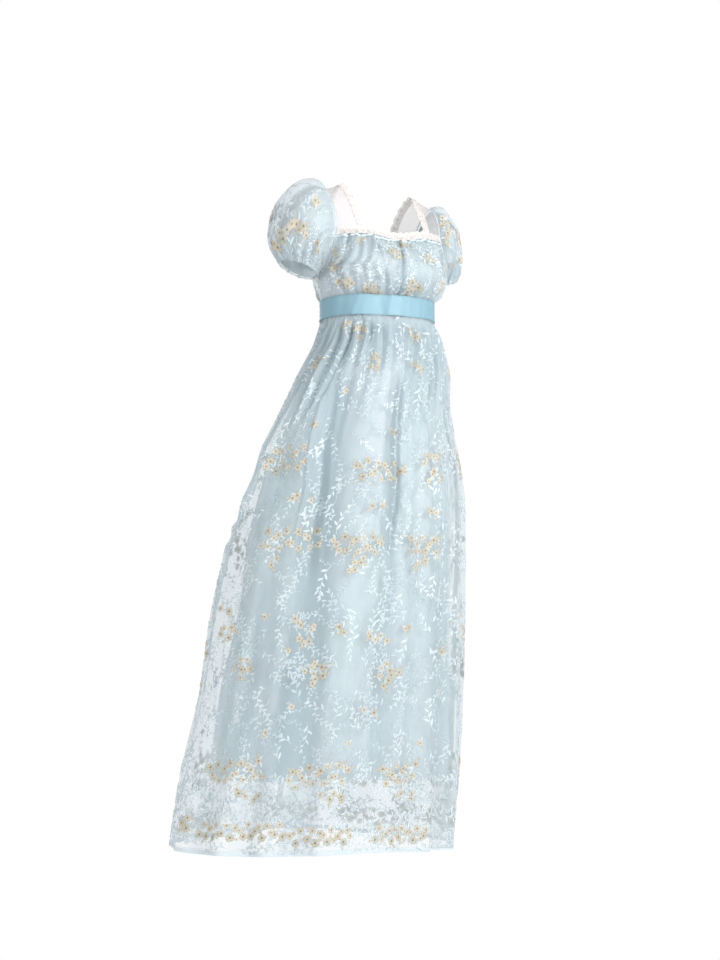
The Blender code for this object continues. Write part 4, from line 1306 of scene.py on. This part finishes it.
def stem_patch(heading, step, width, material):
    """A stitched stem: a narrow ridge along a path that turns by the given headings, one step each. Its
    height is 1 less the square of the share across."""
    x = np.concatenate([[0], np.cumsum(np.cos(heading) * step)])
    y = np.concatenate([[0], np.cumsum(np.sin(heading) * step)])
    side = np.stack([-np.sin(heading), np.cos(heading)], axis=-1)
    side = np.concatenate([side[:1], side])[:, None, :] * width / 2
    centre = np.stack([x, y], axis=-1)[:, None, :]
    t = np.array([-1.0, 0.0, 1.0])[None, :, None]
    flat = centre + side * t
    z = STEM_HEIGHT * (1 - t[..., 0] ** 2) * np.ones((len(x), 1)) + LEAF_LIFT
    return patch(np.concatenate([flat, z[..., None]], axis=-1), material), centre[:, 0]


def leaf_side(number):
    """Which side of its stem a leaf grows on: 1 or -1, in turn."""
    return 1 if number % 2 else -1


def sprig_motif(sprig):
    """A sprig: leaves in turn on each side of a bending stem, smaller towards its tip, and one at the end."""
    share = np.linspace(0, 1, sprig["leaves"])
    heading = sprig["bend"] * (share - 0.3)
    stem, path = stem_patch(heading, sprig["step"], 1.1, PALE)
    parts = [stem]
    for number in range(sprig["leaves"]):
        size = 1 - 0.4 * share[number]
        leaf = leaf_patch(sprig["leaf"] * size, sprig["width"] * size, 0.8, PALE)
        angle = heading[number] + leaf_side(number) * math.radians(sprig["spread"])
        parts.append(moved(leaf, angle, *path[number + 1]))
    tip = leaf_patch(sprig["leaf"] * 0.7, sprig["width"] * 0.65, 0.8, PALE)
    parts.append(moved(tip, heading[-1], *path[-1]))
    return joined(parts)


def petals(petal, out):
    """Five petals, evenly turned, each moved out from the middle."""
    angles = [TAU * k / 5 for k in range(5)]
    return [moved(petal, angle, out * math.cos(angle), out * math.sin(angle)) for angle in angles]


def vine_motif(bend):
    """A long vine that curls over, with small leaves and two thin tendrils. Its heading follows a sine."""
    share = np.linspace(0, 1, 16)
    heading = bend * (1.5 * np.sin(share * 3.4) - 0.7)
    stem, path = stem_patch(heading, 5.2, 1.2, PALE)
    parts = [stem]
    for number in range(2, 16):
        leaf = leaf_patch(8.5 - 2.0 * share[number], 3.4, 0.7, PALE)
        parts.append(moved(leaf, heading[number] + leaf_side(number) * 0.95, *path[number]))
    for start, side in ((5, 1.0), (9, -1.0)):
        tendril, _ = stem_patch(side * (0.5 + np.linspace(0, 2.2, 7)), 3.6, 0.8, PALE)
        parts.append(moved(tendril, heading[start], *path[start]))
    return joined(parts)


SPRIG_MOTIFS = [sprig_motif(sprig) for sprig in named_rows(SPRIG_COLUMNS, SPRIGS)]
VINE_MOTIFS = {bend: vine_motif(bend) for bend in (1.0, -1.0)}
FLOWER = joined(petals(leaf_patch(7.2, 7.6, 0.9, GOLD, roundness=0.4), 1.4) + [disc_patch(2.1, 0.9, CENTRE)])
GOLD_LEAF = leaf_patch(8.0, 3.8, 0.7, GOLD)
PALE_LEAF = leaf_patch(11.0, 4.6, 0.8, PALE)
LACE_FLOWER = joined(petals(leaf_patch(3.6, 3.0, 0.6, PALE, roundness=0.6, along=4), 0.0))
LACE_LEAF = leaf_patch(5.0, 2.0, 0.5, PALE, along=4)
LACE_LINE = leaf_patch(5.2, 1.1, 0.5, PALE, roundness=0.25, along=4)
EDGE_STITCH = leaf_patch(2.6, 0.7, 0.35, PALE, roundness=0.25, along=4)


def sewn(cloth, motif, places):
    """A motif sewn at many places. Each place: shares along and down the cloth, angle, size and tone."""
    u, v, angle, size, tone = np.array(places, float).T[:, :, None]
    points = motif["points"][None]
    x, y = turned(points[..., 0], points[..., 1], angle)
    down = np.clip(v + size * y / cloth["length"], 0.002, 0.996)
    laid = on_cloth(cloth, u + size * x / girth_at(cloth, v), down, STITCH_LIFT + size * points[..., 2])
    count, corners = laid.shape[:2]
    shift = (np.arange(count) * corners)[:, None, None]
    return {
        "points": laid.reshape(-1, 3),
        "faces": (motif["faces"][None] + shift).reshape(-1, 4),
        "uv": np.tile(motif["uv"], (count, 1)),
        "material": np.tile(motif["material"], count),
        "tone": np.repeat(tone.ravel(), corners),
    }


def embroidery_piece(name, cloth, chart, materials):
    """One mesh of all the motifs in a chart: pairs of a motif and its places."""
    work = joined([sewn(cloth, motif, places) for motif, places in chart if len(places)])
    uv = work["uv"][work["faces"].ravel()]
    piece = add_mesh(name, work["points"], work["faces"], uv, materials, work["tone"], work["material"])
    return piece


def fraction(value):
    """What is left of a number above its whole part."""
    return value - math.floor(value)


def flower_chart(groups, cloth):
    """Flowers, gold leaves and pale leaves of the flower groups. Each group fills a slanting ellipse."""
    flowers, gold, pale = [], [], []
    for number, group in enumerate(groups):
        girth = girth_at(cloth, group["share"])

        def place(x, y, angle, size):
            """A motif's place from its distances to the middle of the group."""
            return group["place"] + x / girth, group["share"] + y / cloth["length"], angle, size, tone

        count = group["count"]
        count = count + round(EXTRA_FLOWERS * (count > 3) * count)
        for k in range(count):
            tone = fraction(0.382 * k + 0.237 * number)
            along = ((k + 0.5) / count - 0.5) * group["width"]
            x, y = turned(along, 0.5 * group["height"] * math.sin(2.4 * k + number), group["slope"])
            flowers.append(place(x, y, 1.1 * k + number, 0.68 + 0.32 * tone))
            angle = 2.1 * k + 0.7 * number
            x, y = x + 7 * math.cos(angle), y + 7 * math.sin(angle)
            gold.append(place(x, y, angle, 0.8 + 0.4 * tone))
            angle = angle + 2.6
            x, y = x + 5 * math.cos(angle), y + 9 * math.sin(angle)
            pale.append(place(x, y, angle, 0.8 + 0.3 * tone))
    return [(FLOWER, flowers), (GOLD_LEAF, gold), (PALE_LEAF, pale)]


def sprig_chart(cloth, first, last, spacing, seed, flat_share=0.0, scale=1.0):
    """Leaf sprigs over a stretch of cloth, in rows with a jitter, each with its own heading, size and tone.
    flat_share is how many of them lie along the rows."""
    draw = np.random.default_rng(seed)
    places = [[] for _ in SPRIGS]
    steps = max(1, round((last - first) * cloth["length"] / spacing[1]))
    for number in range(steps):
        v = first + (number + 0.5) / steps * (last - first)
        girth = girth_at(cloth, v)
        count = max(1, round(girth / spacing[0]))
        for k in range(count):
            u = (k + 0.5 * (number % 2)) / count + draw.uniform(-1, 1) * SPRIG_JITTER / girth
            place = v + draw.uniform(-1, 1) * SPRIG_JITTER / cloth["length"]
            heading = draw.choice([-0.25, 0.25]) * TAU + draw.uniform(-1.1, 1.1)
            if draw.uniform() < flat_share:
                heading = draw.choice([0.0, 0.5]) * TAU + draw.uniform(-0.35, 0.35)
            kind = draw.integers(len(SPRIGS))
            places[kind].append((u, place, heading, scale * draw.uniform(0.72, 1.05), draw.uniform()))
    return list(zip(SPRIG_MOTIFS, places))


def within(chart, low, high):
    """The part of a chart whose places lie between two turns."""
    return [(motif, [place for place in places if low <= place[0] % 1.0 < high]) for motif, places in chart]


# Materials


class Finish:
    """A material in the making: its Principled shader, and short calls that add nodes
    and give back their sockets."""

    def __init__(self, name):
        self.material = bpy.data.materials.new(name)
        self.material.use_nodes = True
        self.nodes = self.material.node_tree.nodes
        self.shader = self.nodes["Principled BSDF"]
        self.uv = self.node("ShaderNodeUVMap", uv_map="cloth").outputs[0]
        self.tone = self.node("ShaderNodeAttribute", attribute_name="tone").outputs["Fac"]

    def put(self, made, values):
        """Sets inputs of a node, by name or number, each to a value or from a socket."""
        for key, value in values.items():
            if isinstance(value, bpy.types.NodeSocket):
                self.material.node_tree.links.new(value, made.inputs[key])
            else:
                made.inputs[key].default_value = value

    def node(self, kind, values=None, **settings):
        """A new node, with its settings made and its inputs put in."""
        made = self.nodes.new(kind)
        for key, value in settings.items():
            setattr(made, key, value)
        self.put(made, values or {})
        return made

    def maths(self, operation, *values):
        """One step of arithmetic on numbers or sockets."""
        return self.node("ShaderNodeMath", dict(enumerate(values)), operation=operation).outputs[0]

    def mixed(self, share, first, second):
        """A colour between two colours."""
        return self.node("ShaderNodeMix", {0: share, 6: first, 7: second}, data_type="RGBA").outputs[2]

    def blended(self, share, first, second):
        """A surface between two surfaces."""
        return self.node("ShaderNodeMixShader", {0: share, 1: first, 2: second}).outputs[0]

    def smooth_step(self, value, low, high):
        """0 below low, 1 above high, and a smooth rise between."""
        step = self.node("ShaderNodeMapRange", {0: value, 1: low, 2: high}, interpolation_type="SMOOTHSTEP")
        return step.outputs[0]

    def noise(self, vector, scale, detail, roughness):
        """Soft uneven patches from 0 to 1."""
        values = {"Vector": vector, "Scale": scale, "Detail": detail, "Roughness": roughness}
        return self.node("ShaderNodeTexNoise", values).outputs["Fac"]

    def mapped(self, values):
        """The cloth's UV, turned or scaled."""
        return self.node("ShaderNodeMapping", {"Vector": self.uv, **values}).outputs[0]

    def lines(self, vector, period, direction):
        """Even lines across the cloth: a wave texture whose period is in metres."""
        values = {"Vector": vector, "Scale": WAVE_PERIOD / period}
        return self.node("ShaderNodeTexWave", values, bands_direction=direction).outputs["Fac"]

    def bump(self, height, strength, distance):
        """Shades the surface as if it stood up by a height."""
        values = {"Height": height, "Strength": strength, "Distance": distance}
        self.put(self.shader, {"Normal": self.node("ShaderNodeBump", values).outputs[0]})

    def lit_from_behind(self, colour, through):
        """The shader's surface, with part of the light that falls on the far side of thin threads."""
        glow = self.node("ShaderNodeBsdfTranslucent", {"Color": colour}).outputs[0]
        return self.blended(through, self.shader.outputs[0], glow)

    def finished(self, surface):
        """The material, with its surface joined on."""
        self.put(self.nodes["Material Output"], {"Surface": surface})
        return self.material


def cloth_material(name, colour, shade, roughness, sheen=0.0, thread=0.0006, mottle=0.25, anisotropic=0.0,
                   folds=0.0, sheen_streak=None, through=0.0, alpha=None, net=None):
    """Woven cloth: warp and weft lines and soft mottling in colour, roughness and height. folds is how much
    of the shade colour is mixed in as painted shade where the cloth's density value is high, in gathers and
    deep in folds. The streak colour is a second colour in long soft patches down the cloth: painted sheen.
    through is the share of light that passes the threads. alpha makes the cloth sheer, and net is the pitch of
    an open diamond net that varies it."""
    finish = Finish(name)
    crossed = finish.maths("ADD", finish.lines(finish.uv, thread, "X"), finish.lines(finish.uv, thread, "Y"))
    weave = finish.maths("MULTIPLY", crossed, 0.5)
    patches = finish.noise(finish.uv, 22.0, 4.0, 0.55)
    share = finish.maths("MULTIPLY_ADD", weave, 0.18, finish.maths("MULTIPLY", patches, mottle))
    # Painted shade: the shade colour mixed in by the cloth's density value, in folds and gathers
    share = finish.maths("MULTIPLY_ADD", finish.tone, folds, share)
    # Painted sheen: long soft patches of a second colour down the satin
    if sheen_streak is not None:
        bands = finish.noise(finish.mapped({"Scale": SHEEN_STREAK_SCALE}), 1.0, 2.0, 0.5)
        colour = finish.mixed(finish.smooth_step(bands, 0.4, 0.6), colour, sheen_streak)
    base = finish.mixed(share, colour, shade)
    finish.put(finish.shader, {
        "Base Color": base,
        "Roughness": finish.maths("MULTIPLY_ADD", patches, 0.12, roughness - 0.06),
        "Sheen Weight": sheen,
        "Sheen Roughness": 0.4,
        "Anisotropic": anisotropic,
    })
    finish.bump(weave, 0.15, 0.0003)
    surface = finish.lit_from_behind(base, through) if through else finish.shader.outputs[0]
    if alpha is not None:
        solid = alpha
        if net is not None:
            diamonds = finish.mapped({"Rotation": (0.0, 0.0, math.radians(45))})
            threads = [finish.lines(diamonds, net, direction) for direction in "XY"]
            crossing = finish.maths("POWER", finish.maths("MAXIMUM", *threads), 3.0)
            solid = finish.maths("MULTIPLY_ADD", crossing, alpha * 0.65, alpha * 0.7)
            solid = finish.maths("MULTIPLY", solid, finish.maths("MULTIPLY_ADD", finish.tone, 1.1, 1.0))
            solid = finish.maths("MINIMUM", solid, 0.95)
        surface = finish.blended(solid, finish.node("ShaderNodeBsdfTransparent").outputs[0], surface)
    return finish.finished(surface)


def thread_material(name, light, deep, outline_and_shade, through=0.28):
    """Satin stitch: fine lines across each leaf or petal, a darker rim that is partly an outline and partly
    painted shade where the stitches round off at their edges, and a tone of its own for each motif."""
    finish = Finish(name)
    parts = finish.node("ShaderNodeSeparateXYZ", {0: finish.uv})
    off = finish.maths("ABSOLUTE", finish.maths("SUBTRACT", parts.outputs[1], 0.5))
    body = finish.mixed(finish.tone, light, deep)
    values = {"Vector": finish.uv, "Scale": 6.0, "Distortion": 0.4}
    stitches = finish.node("ShaderNodeTexWave", values, bands_direction="DIAGONAL").outputs["Fac"]
    # The rim colour: partly an outline, partly painted shade at the edges of the raised stitches
    finish.put(finish.shader, {
        "Base Color": finish.mixed(finish.smooth_step(off, 0.26, 0.5), body, outline_and_shade),
        "Roughness": finish.maths("MULTIPLY_ADD", stitches, 0.15, 0.5),
        "Sheen Weight": 0.3,
    })
    finish.bump(stitches, 0.35, 0.0004)
    return finish.finished(finish.lit_from_behind(body, through))


TULLE = cloth_material("tulle", srgb(221, 230, 234), srgb(184, 199, 206), 0.7, sheen=0.2, folds=0.6,
                       through=0.4, alpha=0.36, net=0.0012)
SATIN = cloth_material("satin", srgb(197, 212, 214), srgb(163, 186, 195), 0.42, sheen=0.1, anisotropic=0.4,
                       folds=0.7, sheen_streak=srgb(202, 208, 215), through=0.15)
# The bodice's and sleeves' satin is the skirt's satin made lighter: painted light on them
LIT_BODICE_SATIN = cloth_material("bodice_satin", srgb(208, 218, 220), srgb(178, 196, 203), 0.42, sheen=0.1,
                              anisotropic=0.4, folds=0.7, sheen_streak=srgb(210, 215, 220), through=0.15)
NET = cloth_material("net", srgb(226, 221, 222), srgb(214, 208, 210), 0.8, sheen=0.2, through=0.3, alpha=0.5,
                     net=0.0011)
LACE_GROUND = cloth_material("lace_ground", srgb(238, 230, 225), srgb(222, 214, 209), 0.8, alpha=0.6,
                             net=0.0016)
RIBBON = cloth_material("ribbon", srgb(124, 161, 175), srgb(108, 147, 163), 0.4, sheen=0.1, thread=0.0004,
                        mottle=0.2, anisotropic=0.5)
BINDING = cloth_material("binding", srgb(212, 226, 232), srgb(194, 210, 219), 0.5, sheen=0.2)
HEM_CLOTH = cloth_material("hem_cloth", srgb(200, 213, 219), srgb(180, 196, 204), 0.7, sheen=0.1, alpha=0.75)
SKIRT_THREAD = thread_material("skirt_thread", srgb(230, 237, 239), srgb(200, 213, 219), srgb(164, 181, 190))
# The bodice's and sleeves' thread is the skirt's thread made a little lighter: painted light on them
BODICE_THREAD = thread_material("bodice_thread", srgb(232, 238, 241), srgb(203, 215, 221), srgb(164, 181, 190))
GOLD_THREAD = thread_material("gold_thread", srgb(232, 223, 207), srgb(212, 207, 191), srgb(170, 158, 138),
                              through=0.42)
CENTRE_THREAD = thread_material("centre_thread", srgb(150, 139, 117), srgb(138, 128, 108), srgb(126, 117, 100))
WHITE_THREAD = thread_material("white_thread", srgb(244, 238, 233), srgb(228, 221, 216), srgb(190, 182, 180))
SKIRT_THREADS = [SKIRT_THREAD, GOLD_THREAD, CENTRE_THREAD]
BODICE_THREADS = [BODICE_THREAD, GOLD_THREAD, CENTRE_THREAD]

# Pieces, each for one solid of the frame


def declare(piece, node):
    """Hides the solid that a sheet of cloth replaces."""
    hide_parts(node)


def dress(node, cloth, material, slot, reach=None, chart=None, threads=None):
    """Dresses one solid in a thin sheet of cloth, with the motifs of a chart stitched on it."""
    piece = cloth_piece(f"{node}_{slot}", cloth, material, reach)
    parts = [embroidery_piece(node + "_embroidery", cloth, chart, threads)] if chart else []
    declare(piece, node)


def border_piece(name, cloth, top, low, lift, material):
    """A narrow band of the same cloth laid along it, between two shares of the way down."""
    count = cloth["points"].shape[1]
    u = np.linspace(0, 1, count, endpoint=not cloth["closed"])
    rows = [on_cloth(cloth, u, np.full_like(u, v), lift) for v in np.linspace(top, low, 4)]
    cloth_piece(name, make_cloth(np.stack(rows), cloth["closed"]), material)


def stitch_row(name, cloth, share, pitch, material):
    """A row of machine stitches along a cloth, at one share of the way down it."""
    count = int(cloth["girth"][round(share * (len(cloth["girth"]) - 1))] / pitch)
    places = [((k + 0.5) / count, share, 0.0, 1.0, 0.5) for k in range(count)]
    return embroidery_piece(name, cloth, [(EDGE_STITCH, places)], [material])


def seam_piece(name, cloth, turn, width, lift, material):
    """The folded edges of a seam: a narrow strip down the cloth, centred on one turn."""
    v = np.linspace(0.02, 0.985, cloth["points"].shape[0])
    half = width / 2 / girth_at(cloth, v)
    edges = [on_cloth(cloth, turn + side * half, v, lift) for side in (-1, 0, 1)]
    cloth_piece(name, make_cloth(np.stack(edges, axis=1)), material)


def lace_piece(node, base, lift, scallops):
    """A band of lace: a fine net ground with a corded scalloped edge, a flower in each
    scallop, leaves between, and a straight corded edge below. The cord's slope follows the
    cosine that belongs to the edge's sine."""
    ground = make_cloth(posed(pushed_out(base, lift)))
    piece = cloth_piece(node + "_ground", ground, LACE_GROUND)
    count = scallops * CORDS_PER_SCALLOP
    share = (np.arange(count) + 0.5) / count
    length = float(ground["girth"].mean())
    size = length / count / CORD_STEP
    back = CORD_BACK / length
    arch = np.cos(math.pi * scallops * share) * np.sign(np.sin(math.pi * scallops * share))
    middle = (np.arange(scallops) + 0.5) / scallops
    ends = np.arange(1, scallops) / scallops
    flowers = [(u, 0.42, 0.4 * k, 1.0, 0.2) for k, u in enumerate(middle)]
    leaves = [(u, 0.62, angle, 1.0, 0.5) for u in ends for angle in (0.6, TAU / 2 - 0.6, -TAU / 4)]
    edging = [(u - back, 0.04, 0.45 * slope, size, 0.1) for u, slope in zip(share, arch)]
    border = [(u - back, 0.95, 0.0, size, 0.3) for u in share]
    dots = [(u, 0.80, 0.0, 0.55, 0.3) for u in middle]
    chart = [(LACE_FLOWER, flowers + dots), (LACE_LEAF, leaves), (LACE_LINE, edging + border)]
    work = embroidery_piece(node + "_cords", ground, chart, [WHITE_THREAD])
    declare(piece, node)


# Skirt


def skirt_share(drop):
    """A drop as a share of the way down the overskirt."""
    return (drop - WAIST) / (HEM - WAIST)


def round_the_skirt(columns, table):
    """The rows of a table of the front, and again round the back, each with its place round the overskirt
    and its share of the way down it."""
    rows = []
    for shift, (low, high) in zip(REPEATS, REPEAT_REACH):
        for row in named_rows(columns, table):
            place = row["turn"] + shift
            if low <= place < high:
                rows.append({**row, "place": place, "share": skirt_share(row["drop"])})
    return rows


def vine_chart():
    """The trailing vines of both bends. A vine's tone comes from its turn in the table."""
    chart = {bend: [] for bend in VINE_MOTIFS}
    for vine in round_the_skirt(VINE_COLUMNS, VINES):
        tone = fraction(vine["turn"] * 37)
        chart[vine["bend"]].append((vine["place"], vine["share"], vine["heading"] * TAU, vine["size"], tone))
    return [(VINE_MOTIFS[bend], places) for bend, places in chart.items()]


overskirt = folded_tube(OVERSKIRT, HEM, SKIRT_GRID, overskirt_depth)
lining = kept_inside(folded_tube(SKIRT_LINING, LINING_HEM, LINING_GRID, lining_depth), overskirt, LINING_GAP)
sprigs_top, sprigs_sheer, sprigs_low = (skirt_share(drop) for drop in SPRIG_DROPS)
skirt_chart = flower_chart(round_the_skirt(SKIRT_GROUP_COLUMNS, FLOWER_GROUPS), overskirt) + vine_chart()
skirt_chart += sprig_chart(overskirt, sprigs_top, sprigs_sheer, SPRIG_SPACING, CHART_SEED)
skirt_chart += sprig_chart(
    overskirt, sprigs_sheer, sprigs_low, SPRIG_SPACING_SHEER, CHART_SEED + 1, flat_share=SPRIG_FLAT_SHARE
)
for side, reach in SKIRT_PANELS.items():
    chart = within(skirt_chart, *reach)
    dress("skirt_" + side, overskirt, TULLE, "tulle", reach, chart, SKIRT_THREADS)
for side, reach in SKIRT_PANELS.items():
    dress("skirt_lining_" + side, lining, SATIN, "satin", reach)

# Bodice

for panel in named_rows(BODICE_PANEL_COLUMNS, BODICE_PANELS):
    side = panel["side"]
    cloth = bodice_cloth(TORSO_LINING, panel, fullness=0.7)
    dress("bodice_lining_" + side, cloth, LIT_BODICE_SATIN, "satin")
    cloth = bodice_cloth(TORSO, panel, fullness=1.0)
    binding = "bodice_binding_" + side
    border_piece(binding, cloth, top=0.086, low=0.108, lift=1.2, material=BINDING)
    groups = named_rows(GROUP_COLUMNS, BODICE_GROUPS if side == "front" else BODICE_BACK_GROUPS)
    chart = flower_chart(groups, cloth)
    chart += sprig_chart(cloth, 0.10, 0.84, BODICE_SPRIG_SPACING, CHART_SEED + 5, scale=BODICE_SPRIG_SCALE)
    dress("bodice_" + side, cloth, TULLE, "tulle", None, chart, BODICE_THREADS)

# Sleeves, shoulder nets and their lace

for hand in ("left", "right"):
    net = "shoulder_net_" + hand
    dress("sleeve_lining_" + hand, sleeve_lining_cloth(hand), LIT_BODICE_SATIN, "satin")
    cloth = sleeve_cloth(hand)
    groups = named_rows(GROUP_COLUMNS, SLEEVE_GROUPS[hand])
    if hand == "right":
        groups = [{**group, "place": 1 - group["place"]} for group in groups]
    chart = flower_chart(groups, cloth)
    chart += sprig_chart(cloth, 0.34, 0.60, SLEEVE_SPRIG_SPACING, CHART_SEED + 7, scale=SLEEVE_SPRIG_SCALE)
    chart += sprig_chart(cloth, 0.60, 0.92, CUFF_SPRIG_SPACING, CHART_SEED + 8, scale=SLEEVE_SPRIG_SCALE)
    dress("sleeve_" + hand, cloth, TULLE, "tulle", None, chart, BODICE_THREADS)
    declare(cloth_piece(net + "_cloth", shoulder_net_cloth(hand), NET), net)
    edge = shoulder_lace_base(hand)
    lace_piece("lace_shoulder_" + hand, edge, SHOULDER_LACE_LIFT, SHOULDER_SCALLOPS)
    cloth_piece("armhole_piping_" + hand, piping_cloth(hand), BINDING)

for band in named_rows(NECK_LACE_COLUMNS, NECK_LACE):
    edge = neck_lace_base(band["side"], band["start"], band["end"])
    lace_piece("lace_neck_" + band["side"], edge, band["lift"], NECK_SCALLOPS)

# Ribbon belt

belt = ribbon_cloth()
ribbon = cloth_piece("waist_ribbon_satin", belt, RIBBON)
ribbon_stitches = [
    stitch_row("waist_ribbon_stitches_" + edge, belt, share=share, pitch=3.6, material=RIBBON)
    for edge, share in (("top", 0.045), ("bottom", 0.955))
]
declare(ribbon, "waist_ribbon")

# Hems and seams of the skirt

border_piece("skirt_hem_band", overskirt, top=0.9925, low=1.0, lift=0.25, material=HEM_CLOTH)
stitch_row("skirt_hem_stitches", overskirt, share=0.991, pitch=3.2, material=SKIRT_THREAD)
border_piece("skirt_lining_hem_band", lining, top=0.985, low=1.0, lift=0.3, material=SATIN)
stitch_row("skirt_lining_hem_stitches", lining, share=0.983, pitch=3.4, material=BINDING)
for name, turn in (("left", 0.25), ("right", 0.75), ("back", 0.0)):
    seam_piece("skirt_seam_" + name, overskirt, turn, width=14.0, lift=-0.4, material=HEM_CLOTH)
    seam_piece("skirt_lining_seam_" + name, lining, turn, width=3.0, lift=0.2, material=BINDING)

# Stage, light and camera


def make_floor():
    """A plain white floor: a large flat square that gives off its own light, as bright as the background."""
    material = bpy.data.materials.new("floor")
    material.use_nodes = True
    shader = material.node_tree.nodes["Principled BSDF"]
    values = {
        "Base Color": (0.0, 0.0, 0.0, 1.0),
        "Roughness": 1.0,
        "Specular IOR Level": 0.0,
        "Emission Color": (1.0, 1.0, 1.0, 1.0),
        "Emission Strength": 1.0,
    }
    for key, value in values.items():
        shader.inputs[key].default_value = value
    corners = ((-1, -1), (1, -1), (1, 1), (-1, 1))
    mesh = bpy.data.meshes.new("floor")
    mesh.from_pydata([(FLOOR_HALF * x, FLOOR_HALF * y, FLOOR_HEIGHT) for x, y in corners], [], [(0, 1, 2, 3)])
    mesh.materials.append(material)
    floor = bpy.data.objects.new("floor", mesh)
    bpy.context.scene.collection.objects.link(floor)


def make_light(name, place, target, size, power, colour):
    """A square area light that faces its target."""
    lamp = bpy.data.lights.new(name, "AREA")
    lamp.shape = "SQUARE"
    lamp.size = size
    lamp.energy = power
    lamp.color = colour
    thing = bpy.data.objects.new(name, lamp)
    thing.location = place
    thing.rotation_mode = "QUATERNION"
    thing.rotation_quaternion = (Vector(target) - Vector(place)).to_track_quat("-Z", "Y")
    bpy.context.scene.collection.objects.link(thing)


def make_world():
    """White to the camera, and a softer white as light."""
    world = bpy.data.worlds.new("studio")
    world.use_nodes = True
    tree = world.node_tree
    background = tree.nodes["Background"]
    background.inputs["Color"].default_value = (1.0, 1.0, 1.0, 1.0)
    path = tree.nodes.new("ShaderNodeLightPath")
    strength = tree.nodes.new("ShaderNodeMapRange")
    strength.inputs["To Min"].default_value = AMBIENT
    strength.inputs["To Max"].default_value = 1.0
    tree.links.new(path.outputs["Is Camera Ray"], strength.inputs["Value"])
    tree.links.new(strength.outputs[0], background.inputs["Strength"])
    bpy.context.scene.world = world


def make_camera():
    """The photograph's viewing angle, from its turn, distance and height, aimed by
    where its axis meets the picture."""
    data = bpy.data.cameras.new("camera")
    camera = bpy.data.objects.new("camera", data)
    bpy.context.scene.collection.objects.link(camera)
    s, c = math.sin(CAMERA_TURN), math.cos(CAMERA_TURN)
    view, right, up = Vector((s, c, 0)), Vector((c, -s, 0)), Vector((0, 0, 1))
    aside = (PICTURE[0] / 2 - AXIS_PIXEL[0]) / FOCAL_PIXELS
    above = (AXIS_PIXEL[1] - PICTURE[1] / 2) / FOCAL_PIXELS
    camera.location = (-s * CAMERA_DISTANCE, -c * CAMERA_DISTANCE, CAMERA_HEIGHT)
    camera.rotation_mode = "QUATERNION"
    camera.rotation_quaternion = (view + right * aside + up * above).to_track_quat("-Z", "Y")
    data.sensor_fit = "AUTO"
    data.sensor_width = SENSOR
    data.lens = SENSOR * FOCAL_PIXELS / PICTURE[1]
    bpy.context.scene.camera = camera


make_floor()
for light in named_rows(LIGHT_COLUMNS, LIGHTS):
    make_light(**light)
make_world()
make_camera()
bpy.context.scene.view_settings.view_transform = "Standard"
